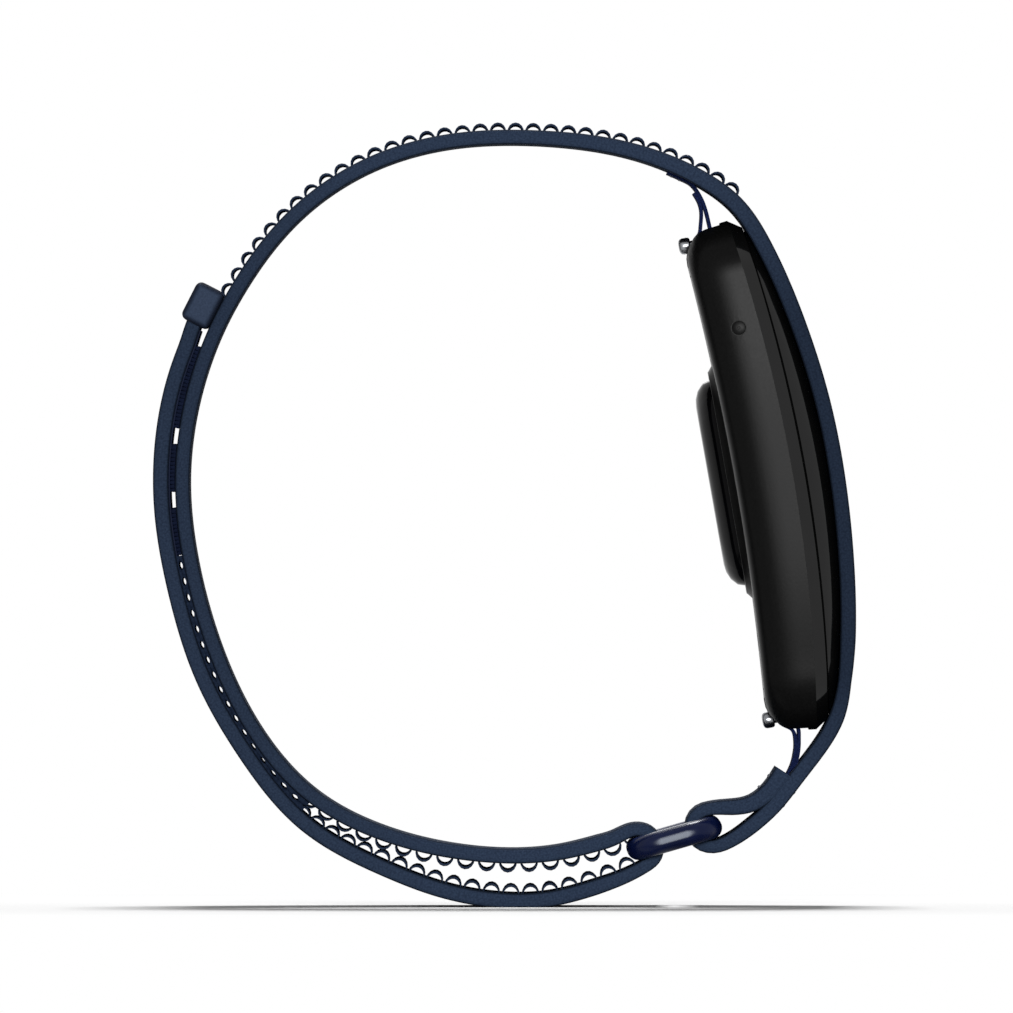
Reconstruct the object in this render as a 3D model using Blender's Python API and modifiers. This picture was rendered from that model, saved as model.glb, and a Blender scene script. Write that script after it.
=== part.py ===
"""A woven wrist band closed by hook and loop, with a screenless sensor pod tied to it by two ribbon loops.

Metres, +Z up. The closed loop lies in the XZ plane and its width runs along Y. The strap starts at its sewn
end on the right, folds round the ring's right bar, goes up over the pod, over the top and down the left,
turns round the ring's left bar and runs back outside itself to the hook tail.
"""

import math

import bmesh
import bpy
import numpy as np
from mathutils import Matrix, Vector

MM = 0.001
GAP = 0.15  # mm left at each cut end and between soft layers

# Strap, in mm
STRAP_WIDTH = 22.0
STRAP_THICKNESS = 1.4
SEWN_END_THICKNESS = 1.2
FOLD_THICKNESS = 1.2
POD_END_THICKNESS = 1.2  # where the strap bends over the pod's lower end
LONGEST_STEP = 2.5
SHARPEST_TURN = math.radians(9)

# Ring, in mm
RING_WIRE = 2.1
RING_HALF_WIDTH = 12.6
RING_CORNER = 2.2
RIGHT_BAR = (18.7, 7.19)
LEFT_BAR = (12.12, 5.3)
FOLD_RADIUS = RING_WIRE / 2 + 0.08 + FOLD_THICKNESS / 2

# Middle line of the strap in X and Z, in mm, stretch by stretch
SEWN_END = [(25.22, 12.36), (24.15, 10.85), (22.35, 9.36), (20.5, 9.03)]
RIGHT_SIDE = [(20.4, 5.95), (22.4, 7.3), (24.43, 9.12), (26.45, 11.63), (28.1, 13.77), (30.2, 17.3)]
RIGHT_SIDE += [(30.9, 20.4), (31.2, 24.3), (31.05, 31.5), (30.3, 38.7), (28.9, 45.9), (26.65, 53.1), (23.5, 60.3)]
TOP = [(21.1, 63.85), (17.7, 66.35), (10.6, 69.0), (3.2, 69.9), (-4.2, 69.7), (-11.65, 67.75), (-19.15, 62.8)]
LEFT_SIDE = [(-24.2, 56.3), (-25.65, 53.7), (-28.35, 46.3), (-29.3, 38.8), (-28.55, 31.4), (-26.55, 24.0)]
LEFT_SIDE += [(-23.1, 16.6), (-17.25, 9.91)]
BOTTOM = [(-11.47, 6.84), (-2.3, 4.78), (5.1, 4.96), (8.5, 5.76)]
LEAD_IN = [(9.95, 6.24)]
RETURN = [(8.2, 1.75), (4.2, 0.72), (-1.4, 0.66), (-5.7, 1.5), (-11.0, 3.48), (-18.18, 7.56), (-23.45, 13.74)]
RETURN += [(-27.5, 20.9), (-29.81, 28.07), (-30.6, 31.68)]
TAIL = [(-31.13, 35.24), (-31.13, 42.36), (-29.54, 49.52), (-28.8, 51.55), (-28.31, 53.0)]
TAIL += [(-27.72, 54.22)]

# Loop pile and hook patches, in mm
PILE_MARGIN = 0.2
PILE_SEAT = 0.1  # left between a cloth face and what stands on it
PILE_END = RETURN[4]
TOP_PILE_PITCH = 1.594
INNER_PILE_PITCH = 1.88
OUTER_PILE_PITCH = 1.8
TOP_PILE_START = 0.46
INNER_PILE_START = -0.25
OUTER_PILE_START = 1.22
PILE_HEIGHT = 0.75
PILE_WEB = 0.15
ARCH_HALF_WIDTH = 0.68
YARN = 0.26
ARCH_STEPS = 6
HOOK_THICKNESS = 0.35
HOOK_WIDTH = 21.0
HOOK_LENGTHS = (4.3, 4.6, 7.4)
HOOK_SPACE = 1.4

# End cap of the tail, in mm
CAP_LENGTH = 3.5
CAP_THICKNESS = 2.6
CAP_WIDTH = 23.6
CAP_CENTRE = Vector((-27.5, 0, 54.66))
CAP_TILT = math.radians(27)
CAP_EDGE = 0.45
CAP_SLOT_DEPTH = 1.5
CAP_SLOT_PLAY = 0.12

# Pod, in mm: its own X points out to the strap, its Z up along its length
POD_CENTRE = (24.89, 39.37)
POD_TILT = math.radians(10)
POD_HALF_LENGTH = 23.5
POD_HALF_WIDTH = 12.0
POD_CORNER = 5.5
BACK_FACE = -4.0
BACK_INNER = -3.35
BACK_BOW = 250.0
BACK_EDGE_RADIUS = 2.3
WALL_TOP = 1.25
RIDGE = 2.4
CREST = 4.42
WALL_BOW = 150.0
CREST_BOW = 75.0
SEAM = 0.1
CORNER_STEPS = 4
SIDE_STEPS = 10

# Rounded back edge: angle in degrees, and how much more each step is drawn in at the ends, in mm
BACK_STEPS = [(0, 0.9), (22.5, 1.0), (45, 0.98), (67.5, 0.56), (90, 0.3)]

# Outer cover from its rim to its crest, in mm: level, inset, bow and end draw of each step
COVER_STEPS = [(RIDGE, 0.5, WALL_BOW, 0.9), (3.25, 0.9, 105.6, 1.1), (3.92, 1.7, 85.6, 1.0)]
COVER_STEPS += [(4.3, 3.0, 77.3, 0.5), (CREST, 4.6, CREST_BOW, 0.1)]
BAND_FOOT_INSET = 0.05
BAND_RIM_INSET = 0.45
BAND_END_DRAW = 0.75

# Steps inside the pod, in mm: half length, half width and corner of each
CAVITY = (19.0, 10.4, 3.0)
GROOVE_OUT = (21.5, 11.5, 4.5)
GROOVE_IN = (20.9, 10.9, 3.9)
GASKET_OUT = (21.4, 11.4, 4.4)
GASKET_IN = (21.0, 11.0, 4.0)
BAND_LOWER_IN = (19.6, 10.4, 3.0)
BAND_UPPER_IN = (20.0, 10.2, 3.0)
COVER_RIM = (20.2, 10.2, 3.0)
COVER_HOLLOW = (17.0, 8.4, 2.0)
FLANGE = (17.6, 8.2, 2.5)
RECESS = (19.2, 9.1, 3.0)
BACK_PLATE = (19.1, 9.0, 2.9)
GROOVE_FLOOR = 0.75
LEDGE = -2.3
COVER_THICKNESS = 1.0

# Raised sensor, in mm
WINDOW = (9.5, 5.5, 3.6)
WINDOW_OPENING = (9.65, 5.65, 3.75)
WINDOW_TOP = -6.3
WINDOW_THICKNESS = 0.8
WINDOW_HOLLOW = 1.5
WINDOW_STEPS = [(-5.35, 0.2), (-5.9, 0.8), (-6.2, 1.5), (WINDOW_TOP, 2.2)]
BEZEL_FOOT = (11.1, 7.1, 5.0)
BEZEL_LIP = (10.3, 6.3, 4.3)
BEZEL_TOP = -4.7

# Charging pads and vent plug, in mm
PAD_HEIGHT = -14.8
PAD_PLACES = (-4.05, -1.35, 1.35, 4.05)
PAD_RADIUS = 0.8
PAD_INNER_END = -2.9
VENT_DEPTH = -1.28
VENT_HEIGHT = 13.7
VENT_RADIUS = 0.65
VENT_SEAT_RADIUS = 0.95
VENT_SEAT_DEPTH = 0.2
VENT_LENGTH = 1.48

# Electronics, in mm: low and high corners of each block
BOARD_LOW = -2.0
BOARD_HIGH = -1.2
MAIN_BOARD = ((BOARD_LOW, -9.6, -18.0), (BOARD_HIGH, 9.6, 18.0))
SHIELD_CAN = ((BOARD_HIGH + SEAM, -6.0, 11.0), (0.2, 6.0, 17.0))
BATTERY = ((BOARD_HIGH + 0.4, -8.5, -9.8), (2.2, 8.5, 9.8))
ANTENNA = ((BOARD_HIGH + SEAM, 9.3, -9.0), (0.6, 9.6, 9.0))
SENSOR_FACE = -4.3
SENSOR_BOARD = ((SENSOR_FACE, -3.6, -7.4), (-3.8, 3.6, 7.4))
CHIP_THICKNESS = 0.4
EMITTER_HEIGHTS = (-1.5, 0.0, 1.5)
EMITTER_HALF = 0.5
DETECTOR_HEIGHTS = (-5.2, 5.2)
DETECTOR_HALF_WIDTH = 2.0
DETECTOR_HALF_LENGTH = 1.2
BAFFLE_OUT = (3.2, 2.4, 0.8)
BAFFLE_IN = (2.7, 1.9, 0.5)
BAFFLE_TOP = -5.3
FLEX_LINE = [(-3.65, 3.0), (-3.6, 5.0), (-2.95, 6.4), (-2.3, 7.6), (-2.2, 9.5)]
FLEX_WIDTH = 4.0
FLEX_THICKNESS = 0.14

# Vibration motor, in mm
MOTOR_HEIGHT = -13.9
MOTOR_RADIUS = 3.5
MOTOR_FLOOR = BOARD_HIGH + SEAM
MOTOR_BASE_THICKNESS = 0.3
MOTOR_WALL = 0.3
MOTOR_ROOF = 0.25
CASE_LOW = MOTOR_FLOOR + 0.4
CASE_HIGH = 0.85
SHAFT_RADIUS = 0.4
SHAFT_END = 0.45
ROTOR_RADIUS = 2.9
ROTOR_BORE = 0.46
ROTOR_LOW = MOTOR_FLOOR + 0.5
ROTOR_HIGH = 0.35
ROTOR_FLAT = 0.9

# Spring bars, ribbons and lugs, in mm
BAR_HEIGHT = 21.9
BAR_DEPTH = -3.0
LUG_GAP = 16.2
NOTCH_FLOOR = 19.9
NOTCH_ROOF = -1.3
TUBE_RADIUS = 0.75
BORE_RADIUS = 0.55
BORE_END = 3.1
TIP_RADIUS = 0.4
TIP_REACH = 9.1
TIP_PLAY = 0.08
TIP_HOLE_END = 9.35
TUBE_END = LUG_GAP / 2 - 0.2
PIN_TRAVEL = 1.3
PIN_FACE = -7.8
PIN_END = -3.2
PEG_PLACE = -5.2
PEG_RADIUS = 0.75
PEG_HEAD = 1.1
PEG_END = -5.35
SPRING_TURNS = 7
SPRING_SIDES = 8
SPRING_WIRE = 0.16
SPRING_PLAY = 0.07
SPRING_SEAT = 0.2
RIBBON_WIDTH = 15.2
RIBBON_THICKNESS = 0.3
RIBBON_PLAY = 0.1
PEG_PLAY = 0.2
OVERCUT = 1.0  # how far a cutter runs past the face it opens

# Middle line of each ribbon in X and Z, in mm, as it comes to its spring bar and as it leaves it
UPPER_RIBBON = [(14.9, 66.6), (16.1, 66.09), (17.1, 65.46), (17.7, 64.68), (18.15, 63.73), (18.47, 62.7)]
UPPER_RIBBON += [(18.85, 61.65)]
UPPER_RIBBON_BACK = [(17.48, 61.7), (17.7, 62.65), (17.7, 63.6), (17.38, 64.35), (16.95, 64.9)]
LOWER_RIBBON = [(26.05, 12.75), (26.48, 13.6), (26.72, 14.5), (26.76, 15.4), (26.72, 16.2)]
LOWER_RIBBON_BACK = [(26.0, 15.95), (26.3, 15.2), (26.3, 14.35), (26.05, 13.55), (25.72, 13.0)]

for scene_object in list(bpy.data.objects):
    bpy.data.objects.remove(scene_object)

parts = bpy.data.collections.new("fitness_tracker_band")
cutters = bpy.data.collections.new("cutters")
bpy.context.scene.collection.children.link(parts)
bpy.context.scene.collection.children.link(cutters)


def finish(name, colour, roughness, metallic=0.0):
    """A Principled material."""
    made = bpy.data.materials.new(name)
    made.use_nodes = True
    shader = made.node_tree.nodes["Principled BSDF"]
    shader.inputs["Base Color"].default_value = (*colour, 1)
    shader.inputs["Roughness"].default_value = roughness
    shader.inputs["Metallic"].default_value = metallic
    return made


WEBBING = finish("webbing", (0.025, 0.038, 0.072), 0.9)
PILE = finish("loop_pile", (0.022, 0.034, 0.066), 0.95)
HOOK = finish("hook", (0.006, 0.009, 0.02), 0.7)
CAP_PLASTIC = finish("cap_plastic", (0.03, 0.044, 0.08), 0.6)
BLUE_METAL = finish("blue_metal", (0.01, 0.018, 0.06), 0.12, 0.9)
MATTE_BLACK = finish("matte_black", (0.04, 0.04, 0.04), 0.55)
GLOSS_BLACK = finish("gloss_black", (0.008, 0.008, 0.008), 0.08)
WINDOW_BLACK = finish("window_black", (0.004, 0.004, 0.004), 0.05)
BRIGHT_STEEL = finish("bright_steel", (0.8, 0.8, 0.8), 0.12, 1.0)
SEAL_RUBBER = finish("seal_rubber", (0.02, 0.02, 0.02), 0.8)
BOARD_GREEN = finish("board_green", (0.01, 0.08, 0.03), 0.5)
CELL_FOIL = finish("cell_foil", (0.5, 0.5, 0.52), 0.35, 0.6)
CHIP_BLACK = finish("chip_black", (0.015, 0.015, 0.015), 0.5)
EMITTER_GREEN = finish("emitter_green", (0.1, 0.5, 0.2), 0.3)
COPPER_FILM = finish("copper_film", (0.6, 0.3, 0.08), 0.4, 0.5)
GOLD_PLATE = finish("gold_plate", (0.75, 0.5, 0.15), 0.2, 1.0)


def frame_empty(name, place, tilt=0.0, parent=None):
    """An empty at a place given in mm, turned about Y."""
    empty = bpy.data.objects.new(name, None)
    parts.objects.link(empty)
    empty.parent = parent
    empty.location = Vector(place) * MM
    empty.rotation_euler = (0, tilt, 0)
    bpy.context.view_layer.update()
    return empty


def add(name, mesh, material, parent=None):
    """A part whose mesh is in its parent's frame, in metres."""
    part = bpy.data.objects.new(name, mesh)
    mesh.shade_smooth()
    mesh.set_sharp_from_angle(angle=math.radians(35))
    mesh.materials.append(material)
    parts.objects.link(part)
    part.parent = parent
    return part


def mesh_from(shape, name="shape"):
    """The mesh of a bmesh, closed and facing out."""
    bmesh.ops.remove_doubles(shape, verts=shape.verts, dist=1e-7)
    bmesh.ops.recalc_face_normals(shape, faces=shape.faces)
    mesh = bpy.data.meshes.new(name)
    shape.to_mesh(mesh)
    shape.free()
    return mesh


def cut(part, mesh, operation="DIFFERENCE"):
    """Cuts a mesh in the part's own frame out of the part, or joins it on."""
    tool = bpy.data.objects.new(f"{part.name}_tool", mesh)
    cutters.objects.link(tool)
    tool.parent = part.parent
    tool.hide_render = True
    tool.display_type = "WIRE"
    boolean = part.modifiers.new("cut", "BOOLEAN")
    boolean.operation = operation
    boolean.object = tool


def block(low, high):
    """A box between two corners in mm."""
    shape = bmesh.new()
    size = Vector(high) - Vector(low)
    place = Matrix.Translation((Vector(low) + Vector(high)) * MM / 2)
    bmesh.ops.create_cube(shape, size=1, matrix=place @ Matrix.Diagonal((*size * MM, 1)))
    return mesh_from(shape)


AXIS_TURNS = {"X": Matrix.Rotation(math.pi / 2, 4, "Y"), "Y": Matrix.Rotation(-math.pi / 2, 4, "X")}


def rod(radius, axis, first, last, centre, segments=16):
    """A cylinder in mm along X or Y, between two places on that axis. The centre gives the other two."""
    shape = bmesh.new()
    middle = Vector(centre)
    middle["XYZ".index(axis)] = (first + last) / 2
    bmesh.ops.create_cone(
        shape, cap_ends=True, segments=segments, radius1=radius * MM, radius2=radius * MM,
        depth=abs(last - first) * MM, matrix=Matrix.Translation(middle * MM) @ AXIS_TURNS[axis],
    )
    return mesh_from(shape)


def outline(loops, width):
    """A flat shape in XZ, in mm, filled and given a width along Y. Loops after the first are holes."""
    curve = bpy.data.curves.new("outline", "CURVE")
    curve.dimensions = "2D"
    curve.fill_mode = "BOTH"
    curve.extrude = width * MM / 2
    for loop in loops:
        spline = curve.splines.new("POLY")
        spline.points.add(len(loop) - 1)
        spline.use_cyclic_u = True
        for point, (x, z) in zip(spline.points, loop):
            point.co = (x * MM, z * MM, 0, 1)
    flat = bpy.data.objects.new("outline", curve)
    bpy.context.scene.collection.objects.link(flat)
    evaluated = flat.evaluated_get(bpy.context.evaluated_depsgraph_get())
    shape = bmesh.new()
    shape.from_mesh(bpy.data.meshes.new_from_object(evaluated))
    bmesh.ops.rotate(shape, verts=shape.verts, matrix=Matrix.Rotation(math.pi / 2, 3, "X"))
    bpy.data.objects.remove(flat)
    bmesh.ops.remove_doubles(shape, verts=shape.verts, dist=1e-6)
    return mesh_from(shape)


class Route:
    """A smooth curve through points in XZ, with a length along it to each point."""

    def __init__(self, points):
        self.points = np.array(points, float)
        chords = np.linalg.norm(np.diff(self.points, axis=0), axis=1)
        self.knots = np.concatenate([[0], np.cumsum(chords)])
        count = len(self.points)
        system = np.eye(count)
        wanted = np.zeros((count, 2))
        for i in range(1, count - 1):
            before, after = chords[i - 1], chords[i]
            system[i, i - 1 : i + 2] = before, 2 * (before + after), after
            rise = (self.points[i + 1] - self.points[i]) / after
            wanted[i] = 6 * (rise - (self.points[i] - self.points[i - 1]) / before)
        self.bends = np.linalg.solve(system, wanted)

    def at(self, length):
        """The place and the direction at a length along the route."""
        i = int(np.clip(np.searchsorted(self.knots, length) - 1, 0, len(self.knots) - 2))
        span = self.knots[i + 1] - self.knots[i]
        ahead = (length - self.knots[i]) / span
        behind = 1 - ahead
        low, high = self.bends[i], self.bends[i + 1]
        place = behind * self.points[i] + ahead * self.points[i + 1]
        place += span**2 / 6 * ((behind**3 - behind) * low + (ahead**3 - ahead) * high)
        course = (self.points[i + 1] - self.points[i]) / span
        course += span / 6 * ((3 * ahead**2 - 1) * high - (3 * behind**2 - 1) * low)
        return place, course / np.linalg.norm(course)

    def beside(self, length, distance):
        """The place at a distance to the right of the route."""
        place, course = self.at(length)
        return place + distance * np.array((course[1], -course[0]))

    def steps(self, first, last):
        """Lengths from first to last, closer together where the route bends."""
        kept = [first]
        turned = 0.0
        previous = self.at(first)[1]
        for length in np.arange(first, last, 0.1)[1:]:
            course = self.at(length)[1]
            turned += abs(math.asin(np.clip(previous[0] * course[1] - previous[1] * course[0], -1, 1)))
            previous = course
            if turned > SHARPEST_TURN or length - kept[-1] > LONGEST_STEP:
                kept.append(length)
                turned = 0.0
        if last - kept[-1] < 0.3 and len(kept) > 1:
            kept.pop()
        return kept + [last]

    def near(self, point):
        """The length along the route at one of its own points."""
        return self.knots[int(np.argmin(np.linalg.norm(self.points - point, axis=1)))]


def arc(centre, radius, first, last, steps=4):
    """Points on a circle between two angles in degrees."""
    angles = np.radians(np.linspace(first, last, steps + 1))
    return [(centre[0] + radius * math.cos(a), centre[1] + radius * math.sin(a)) for a in angles]


def strip(route, first, last, thickness, middle=0.0, floor=None):
    """The outline of a layer along a route, its middle at a distance to the right of the route.

    The thickness is one number, or a list of lengths along the route with the thickness at each.
    """
    if not isinstance(thickness, list):
        thickness = [(first, thickness)]
    lengths = route.steps(first, last)
    sides = []
    for sign in (1, -1):
        side = []
        for length in lengths:
            x, z = route.beside(length, middle + sign * np.interp(length, *zip(*thickness)) / 2)
            side.append((x, z if floor is None else max(z, floor)))
        sides.append(side)
    return [sides[0] + sides[1][::-1]]


def pile(route, first, last, pitch):
    """A web on the strap's right-hand face with a row of open arches, as an outline with holes."""
    count = int((last - first) / pitch)
    base = STRAP_THICKNESS / 2 + PILE_SEAT
    foot = base + PILE_WEB
    rise = PILE_HEIGHT - PILE_WEB

    def half_round(middle, half_width, height):
        angles = np.linspace(math.pi, 0, ARCH_STEPS + 1)
        return [
            tuple(route.beside(middle + half_width * math.cos(a), foot + height * math.sin(a)))
            for a in angles
        ]

    middles = [first + pitch * (i + 0.5) for i in range(count)]
    top = [tuple(route.beside(first, foot))]
    for middle in middles:
        top += half_round(middle, ARCH_HALF_WIDTH, rise)
    end = first + pitch * count
    top.append(tuple(route.beside(end, foot)))
    under = [tuple(route.beside(length, base)) for length in np.linspace(end, first, count + 1)]
    holes = [half_round(middle, ARCH_HALF_WIDTH - YARN, rise - YARN) for middle in middles]
    return [top + under, *holes]


def plan_ring(level, half_length, half_width, corner, bow=math.inf):
    """A rounded rectangle across the pod, in mm: down its +Y side and back up its -Y side."""
    straight = half_length - corner
    side = []
    for step in range(CORNER_STEPS + 1):
        angle = math.pi / 2 * (1 - step / CORNER_STEPS)
        side.append((half_width - corner * (1 - math.cos(angle)), straight + corner * math.sin(angle)))
    for step in range(1, SIDE_STEPS):
        side.append((half_width, straight * (1 - 2 * step / SIDE_STEPS)))
    side += [(y, -z) for y, z in reversed(side[: CORNER_STEPS + 1])]
    around = side + [(-y, z) for y, z in reversed(side)]
    return [Vector((level - z * z / (2 * bow), y, z)) * MM for y, z in around]


def loft(rings, hollow=False):
    """Skins rings of equal count. A hollow one joins its last ring to its first, and others get caps."""
    shape = bmesh.new()
    loops = [[shape.verts.new(point) for point in ring] for ring in rings]
    count = len(loops[0])
    pairs = list(zip(loops, loops[1:]))
    if hollow:
        pairs.append((loops[-1], loops[0]))
    for low, high in pairs:
        for i in range(count):
            j = (i + 1) % count
            shape.faces.new((low[i], low[j], high[j], high[i]))
    if not hollow:
        for loop in (loops[0], loops[-1]):
            for i in range(count // 2 - 1):
                shape.faces.new((loop[i], loop[i + 1], loop[count - 2 - i], loop[count - 1 - i]))
    return mesh_from(shape)


def pod_ring(level, inset, bow=math.inf, end_draw=0.0):
    """A section of the pod's outside, drawn in by inset all round and by end_draw more at its ends."""
    corner = max(POD_CORNER - inset, 1.0)
    return plan_ring(level, POD_HALF_LENGTH - inset - end_draw, POD_HALF_WIDTH - inset, corner, bow)


def window_ring(level, inset):
    """A section of the sensor window, drawn in by inset."""
    half_length, half_width, corner = WINDOW
    return plan_ring(level, half_length - inset, half_width - inset, max(corner - inset, 0.8))


# The strap's route from its sewn end to its tail
right_fold = arc(RIGHT_BAR, FOLD_RADIUS, 90, 270)
left_fold = arc(LEFT_BAR, FOLD_RADIUS, 100, -70)
route_points = SEWN_END + right_fold + RIGHT_SIDE + TOP + LEFT_SIDE + BOTTOM + LEAD_IN
route_points += left_fold + RETURN + TAIL
strap_route = Route(route_points)
strap_thickness = []
for point, thickness in (
    (SEWN_END[0], SEWN_END_THICKNESS),
    (SEWN_END[1], SEWN_END_THICKNESS),
    (SEWN_END[2], STRAP_THICKNESS),
    (SEWN_END[3], STRAP_THICKNESS),
    (right_fold[0], FOLD_THICKNESS),
    (right_fold[-1], FOLD_THICKNESS),
    (RIGHT_SIDE[1], STRAP_THICKNESS),
    (RIGHT_SIDE[5], STRAP_THICKNESS),
    (RIGHT_SIDE[6], POD_END_THICKNESS),
    (RIGHT_SIDE[7], STRAP_THICKNESS),
    (BOTTOM[-1], STRAP_THICKNESS),
    (left_fold[0], FOLD_THICKNESS),
    (left_fold[-1], FOLD_THICKNESS),
    (RETURN[0], STRAP_THICKNESS),
):
    strap_thickness.append((strap_route.near(point), thickness))
loop_end = strap_route.near(BOTTOM[-1])
return_start = strap_route.near(RETURN[0])
peel_line = strap_route.near(RETURN[-1])
tail_end = strap_route.knots[-1]

# Empties on the joint axes
peel_place = strap_route.beside(peel_line, -STRAP_THICKNESS / 2)
tail_hinge = frame_empty("tail_hinge", (peel_place[0], 0, peel_place[1]))
ring_pivot = frame_empty("ring_pivot", (RIGHT_BAR[0], 0, RIGHT_BAR[1]))
bar_offset = Matrix.Rotation(-POD_TILT, 3, "Y") @ Vector((BAR_DEPTH, 0, -BAR_HEIGHT))
pod_middle = Vector((POD_CENTRE[0], 0, POD_CENTRE[1]))
pod_hinge = frame_empty("pod_hinge", pod_middle + bar_offset, -POD_TILT)
pod = frame_empty("pod_frame", (-BAR_DEPTH, 0, BAR_HEIGHT), 0.0, pod_hinge)


def add_in_place(name, mesh, material, hinge):
    """A part whose mesh is in world metres, moved by an empty on its joint's axis."""
    part = add(name, mesh, material, hinge)
    part.matrix_parent_inverse = hinge.matrix_world.inverted()
    return part


# Strap
sewn = strip(strap_route, 0, loop_end - GAP, strap_thickness)
add("strap", outline(sewn, STRAP_WIDTH), WEBBING)
turn = strip(strap_route, loop_end + GAP, return_start - GAP, strap_thickness)
add_in_place("strap_turn", outline(turn, STRAP_WIDTH), WEBBING, ring_pivot)
back = strip(strap_route, return_start + GAP, peel_line - GAP, strap_thickness, floor=0.0)
add("strap_return", outline(back, STRAP_WIDTH), WEBBING)
hook_end = strip(strap_route, peel_line + GAP, tail_end, strap_thickness)
add_in_place("strap_tail", outline(hook_end, STRAP_WIDTH), WEBBING, tail_hinge)

# Loop pile, on the face that looks outwards over the top and on the two that meet along the bottom
top_start = strap_route.near(TOP[0]) + TOP_PILE_START
inner_start = strap_route.near(BOTTOM[0]) + INNER_PILE_START
outer_start = return_start + OUTER_PILE_START
for name, pitch, first, last in (
    ("pile_top", TOP_PILE_PITCH, top_start, strap_route.near(LEFT_SIDE[0])),
    ("pile_inner", INNER_PILE_PITCH, inner_start, loop_end - 2 * GAP),
    ("pile_outer", OUTER_PILE_PITCH, outer_start, strap_route.near(PILE_END)),
):
    loops = pile(strap_route, first, last, pitch)
    add(name, outline(loops, STRAP_WIDTH - 2 * PILE_MARGIN), PILE)

# Hook patches on the tail
hook_middle = (STRAP_THICKNESS + HOOK_THICKNESS) / 2 + PILE_SEAT
hook_start = peel_line + 2 * GAP
for number, hook_length in enumerate(HOOK_LENGTHS, start=1):
    patch = strip(strap_route, hook_start, hook_start + hook_length, HOOK_THICKNESS, hook_middle)
    add_in_place(f"hook_patch_{number}", outline(patch, HOOK_WIDTH), HOOK, tail_hinge)
    hook_start += hook_length + HOOK_SPACE

# End cap, with a slot that takes the end of the tail
cap_place = Matrix.Translation(CAP_CENTRE * MM) @ Matrix.Rotation(CAP_TILT, 4, "Y")
cap_half = Vector((CAP_THICKNESS, CAP_WIDTH, CAP_LENGTH)) / 2
cap_mesh = block(-cap_half, cap_half)
cap_mesh.transform(cap_place)
end_cap = add_in_place("end_cap", cap_mesh, CAP_PLASTIC, tail_hinge)
cap_round = end_cap.modifiers.new("round", "BEVEL")
cap_round.width = CAP_EDGE * MM
cap_round.segments = 2
slot_half = STRAP_THICKNESS / 2 + CAP_SLOT_PLAY
slot_side = STRAP_WIDTH / 2 + GAP
slot_end = CAP_SLOT_DEPTH - CAP_LENGTH / 2
slot_mesh = block((-slot_half, -slot_side, -CAP_LENGTH), (slot_half, slot_side, slot_end))
slot_mesh.transform(cap_place)
cut(end_cap, slot_mesh)
bpy.data.objects["end_cap_tool"].matrix_parent_inverse = end_cap.matrix_parent_inverse

# Ring, a wire bent to a rounded rectangle that is tilted with the strap
ring_span = Vector((LEFT_BAR[0] - RIGHT_BAR[0], 0, LEFT_BAR[1] - RIGHT_BAR[1]))
ring_curve = bpy.data.curves.new("ring", "CURVE")
ring_curve.dimensions = "3D"
ring_curve.bevel_depth = RING_WIRE / 2 * MM
ring_curve.bevel_resolution = 3
ring_wire = ring_curve.splines.new("POLY")
ring_points = []
for along, across in ((0, 1), (1, 1), (1, -1), (0, -1)):
    side_x = 1 if along else -1
    start = {(-1, 1): 180, (1, 1): 90, (1, -1): 0, (-1, -1): -90}[side_x, across]
    centre = (along * ring_span.length - side_x * RING_CORNER, across * (RING_HALF_WIDTH - RING_CORNER))
    ring_points += arc(centre, RING_CORNER, start, start - 90, 5)
ring_wire.points.add(len(ring_points) - 1)
ring_wire.use_cyclic_u = True
for point, (along, across) in zip(ring_wire.points, ring_points):
    point.co = (*(ring_span.normalized() * along + Vector((0, across, 0))) * MM, 1)
ring_guide = bpy.data.objects.new("ring_guide", ring_curve)
bpy.context.scene.collection.objects.link(ring_guide)
ring_shape = bmesh.new()
ring_evaluated = ring_guide.evaluated_get(bpy.context.evaluated_depsgraph_get())
ring_shape.from_mesh(bpy.data.meshes.new_from_object(ring_evaluated))
bpy.data.objects.remove(ring_guide)
add("ring", mesh_from(ring_shape), BLUE_METAL, ring_pivot)

# Pod shells
housing_rings = []
for angle, end_draw in BACK_STEPS:
    across, along = math.cos(math.radians(angle)), math.sin(math.radians(angle))
    level = BACK_FACE + BACK_EDGE_RADIUS * (1 - across)
    housing_rings.append(pod_ring(level, BACK_EDGE_RADIUS * (1 - along), BACK_BOW, end_draw))
housing_rings += [
    pod_ring(WALL_TOP, 0, WALL_BOW),
    plan_ring(WALL_TOP, *GROOVE_OUT, WALL_BOW),
    plan_ring(GROOVE_FLOOR, *GROOVE_OUT, WALL_BOW),
    plan_ring(GROOVE_FLOOR, *GROOVE_IN, WALL_BOW),
    plan_ring(WALL_TOP, *GROOVE_IN, WALL_BOW),
    plan_ring(WALL_TOP, *CAVITY, WALL_BOW),
    plan_ring(LEDGE, *CAVITY),
    plan_ring(LEDGE, *FLANGE),
    plan_ring(BACK_INNER + SEAM, *FLANGE),
    plan_ring(BACK_INNER + SEAM, *RECESS),
    plan_ring(BACK_FACE, *RECESS, BACK_BOW),
]
housing = add("pod_housing", loft(housing_rings, hollow=True), MATTE_BLACK, pod)
for end in (1, -1):
    far = end * (POD_HALF_LENGTH + OVERCUT)
    near = end * NOTCH_FLOOR
    low = (BACK_FACE - 2 * OVERCUT, -LUG_GAP / 2, min(near, far))
    cut(housing, block(low, (NOTCH_ROOF, LUG_GAP / 2, max(near, far))))
    bar_place = (BAR_DEPTH, 0, end * BAR_HEIGHT)
    cut(housing, rod(TIP_RADIUS + TIP_PLAY, "Y", -TIP_HOLE_END, TIP_HOLE_END, bar_place, 12))

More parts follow.
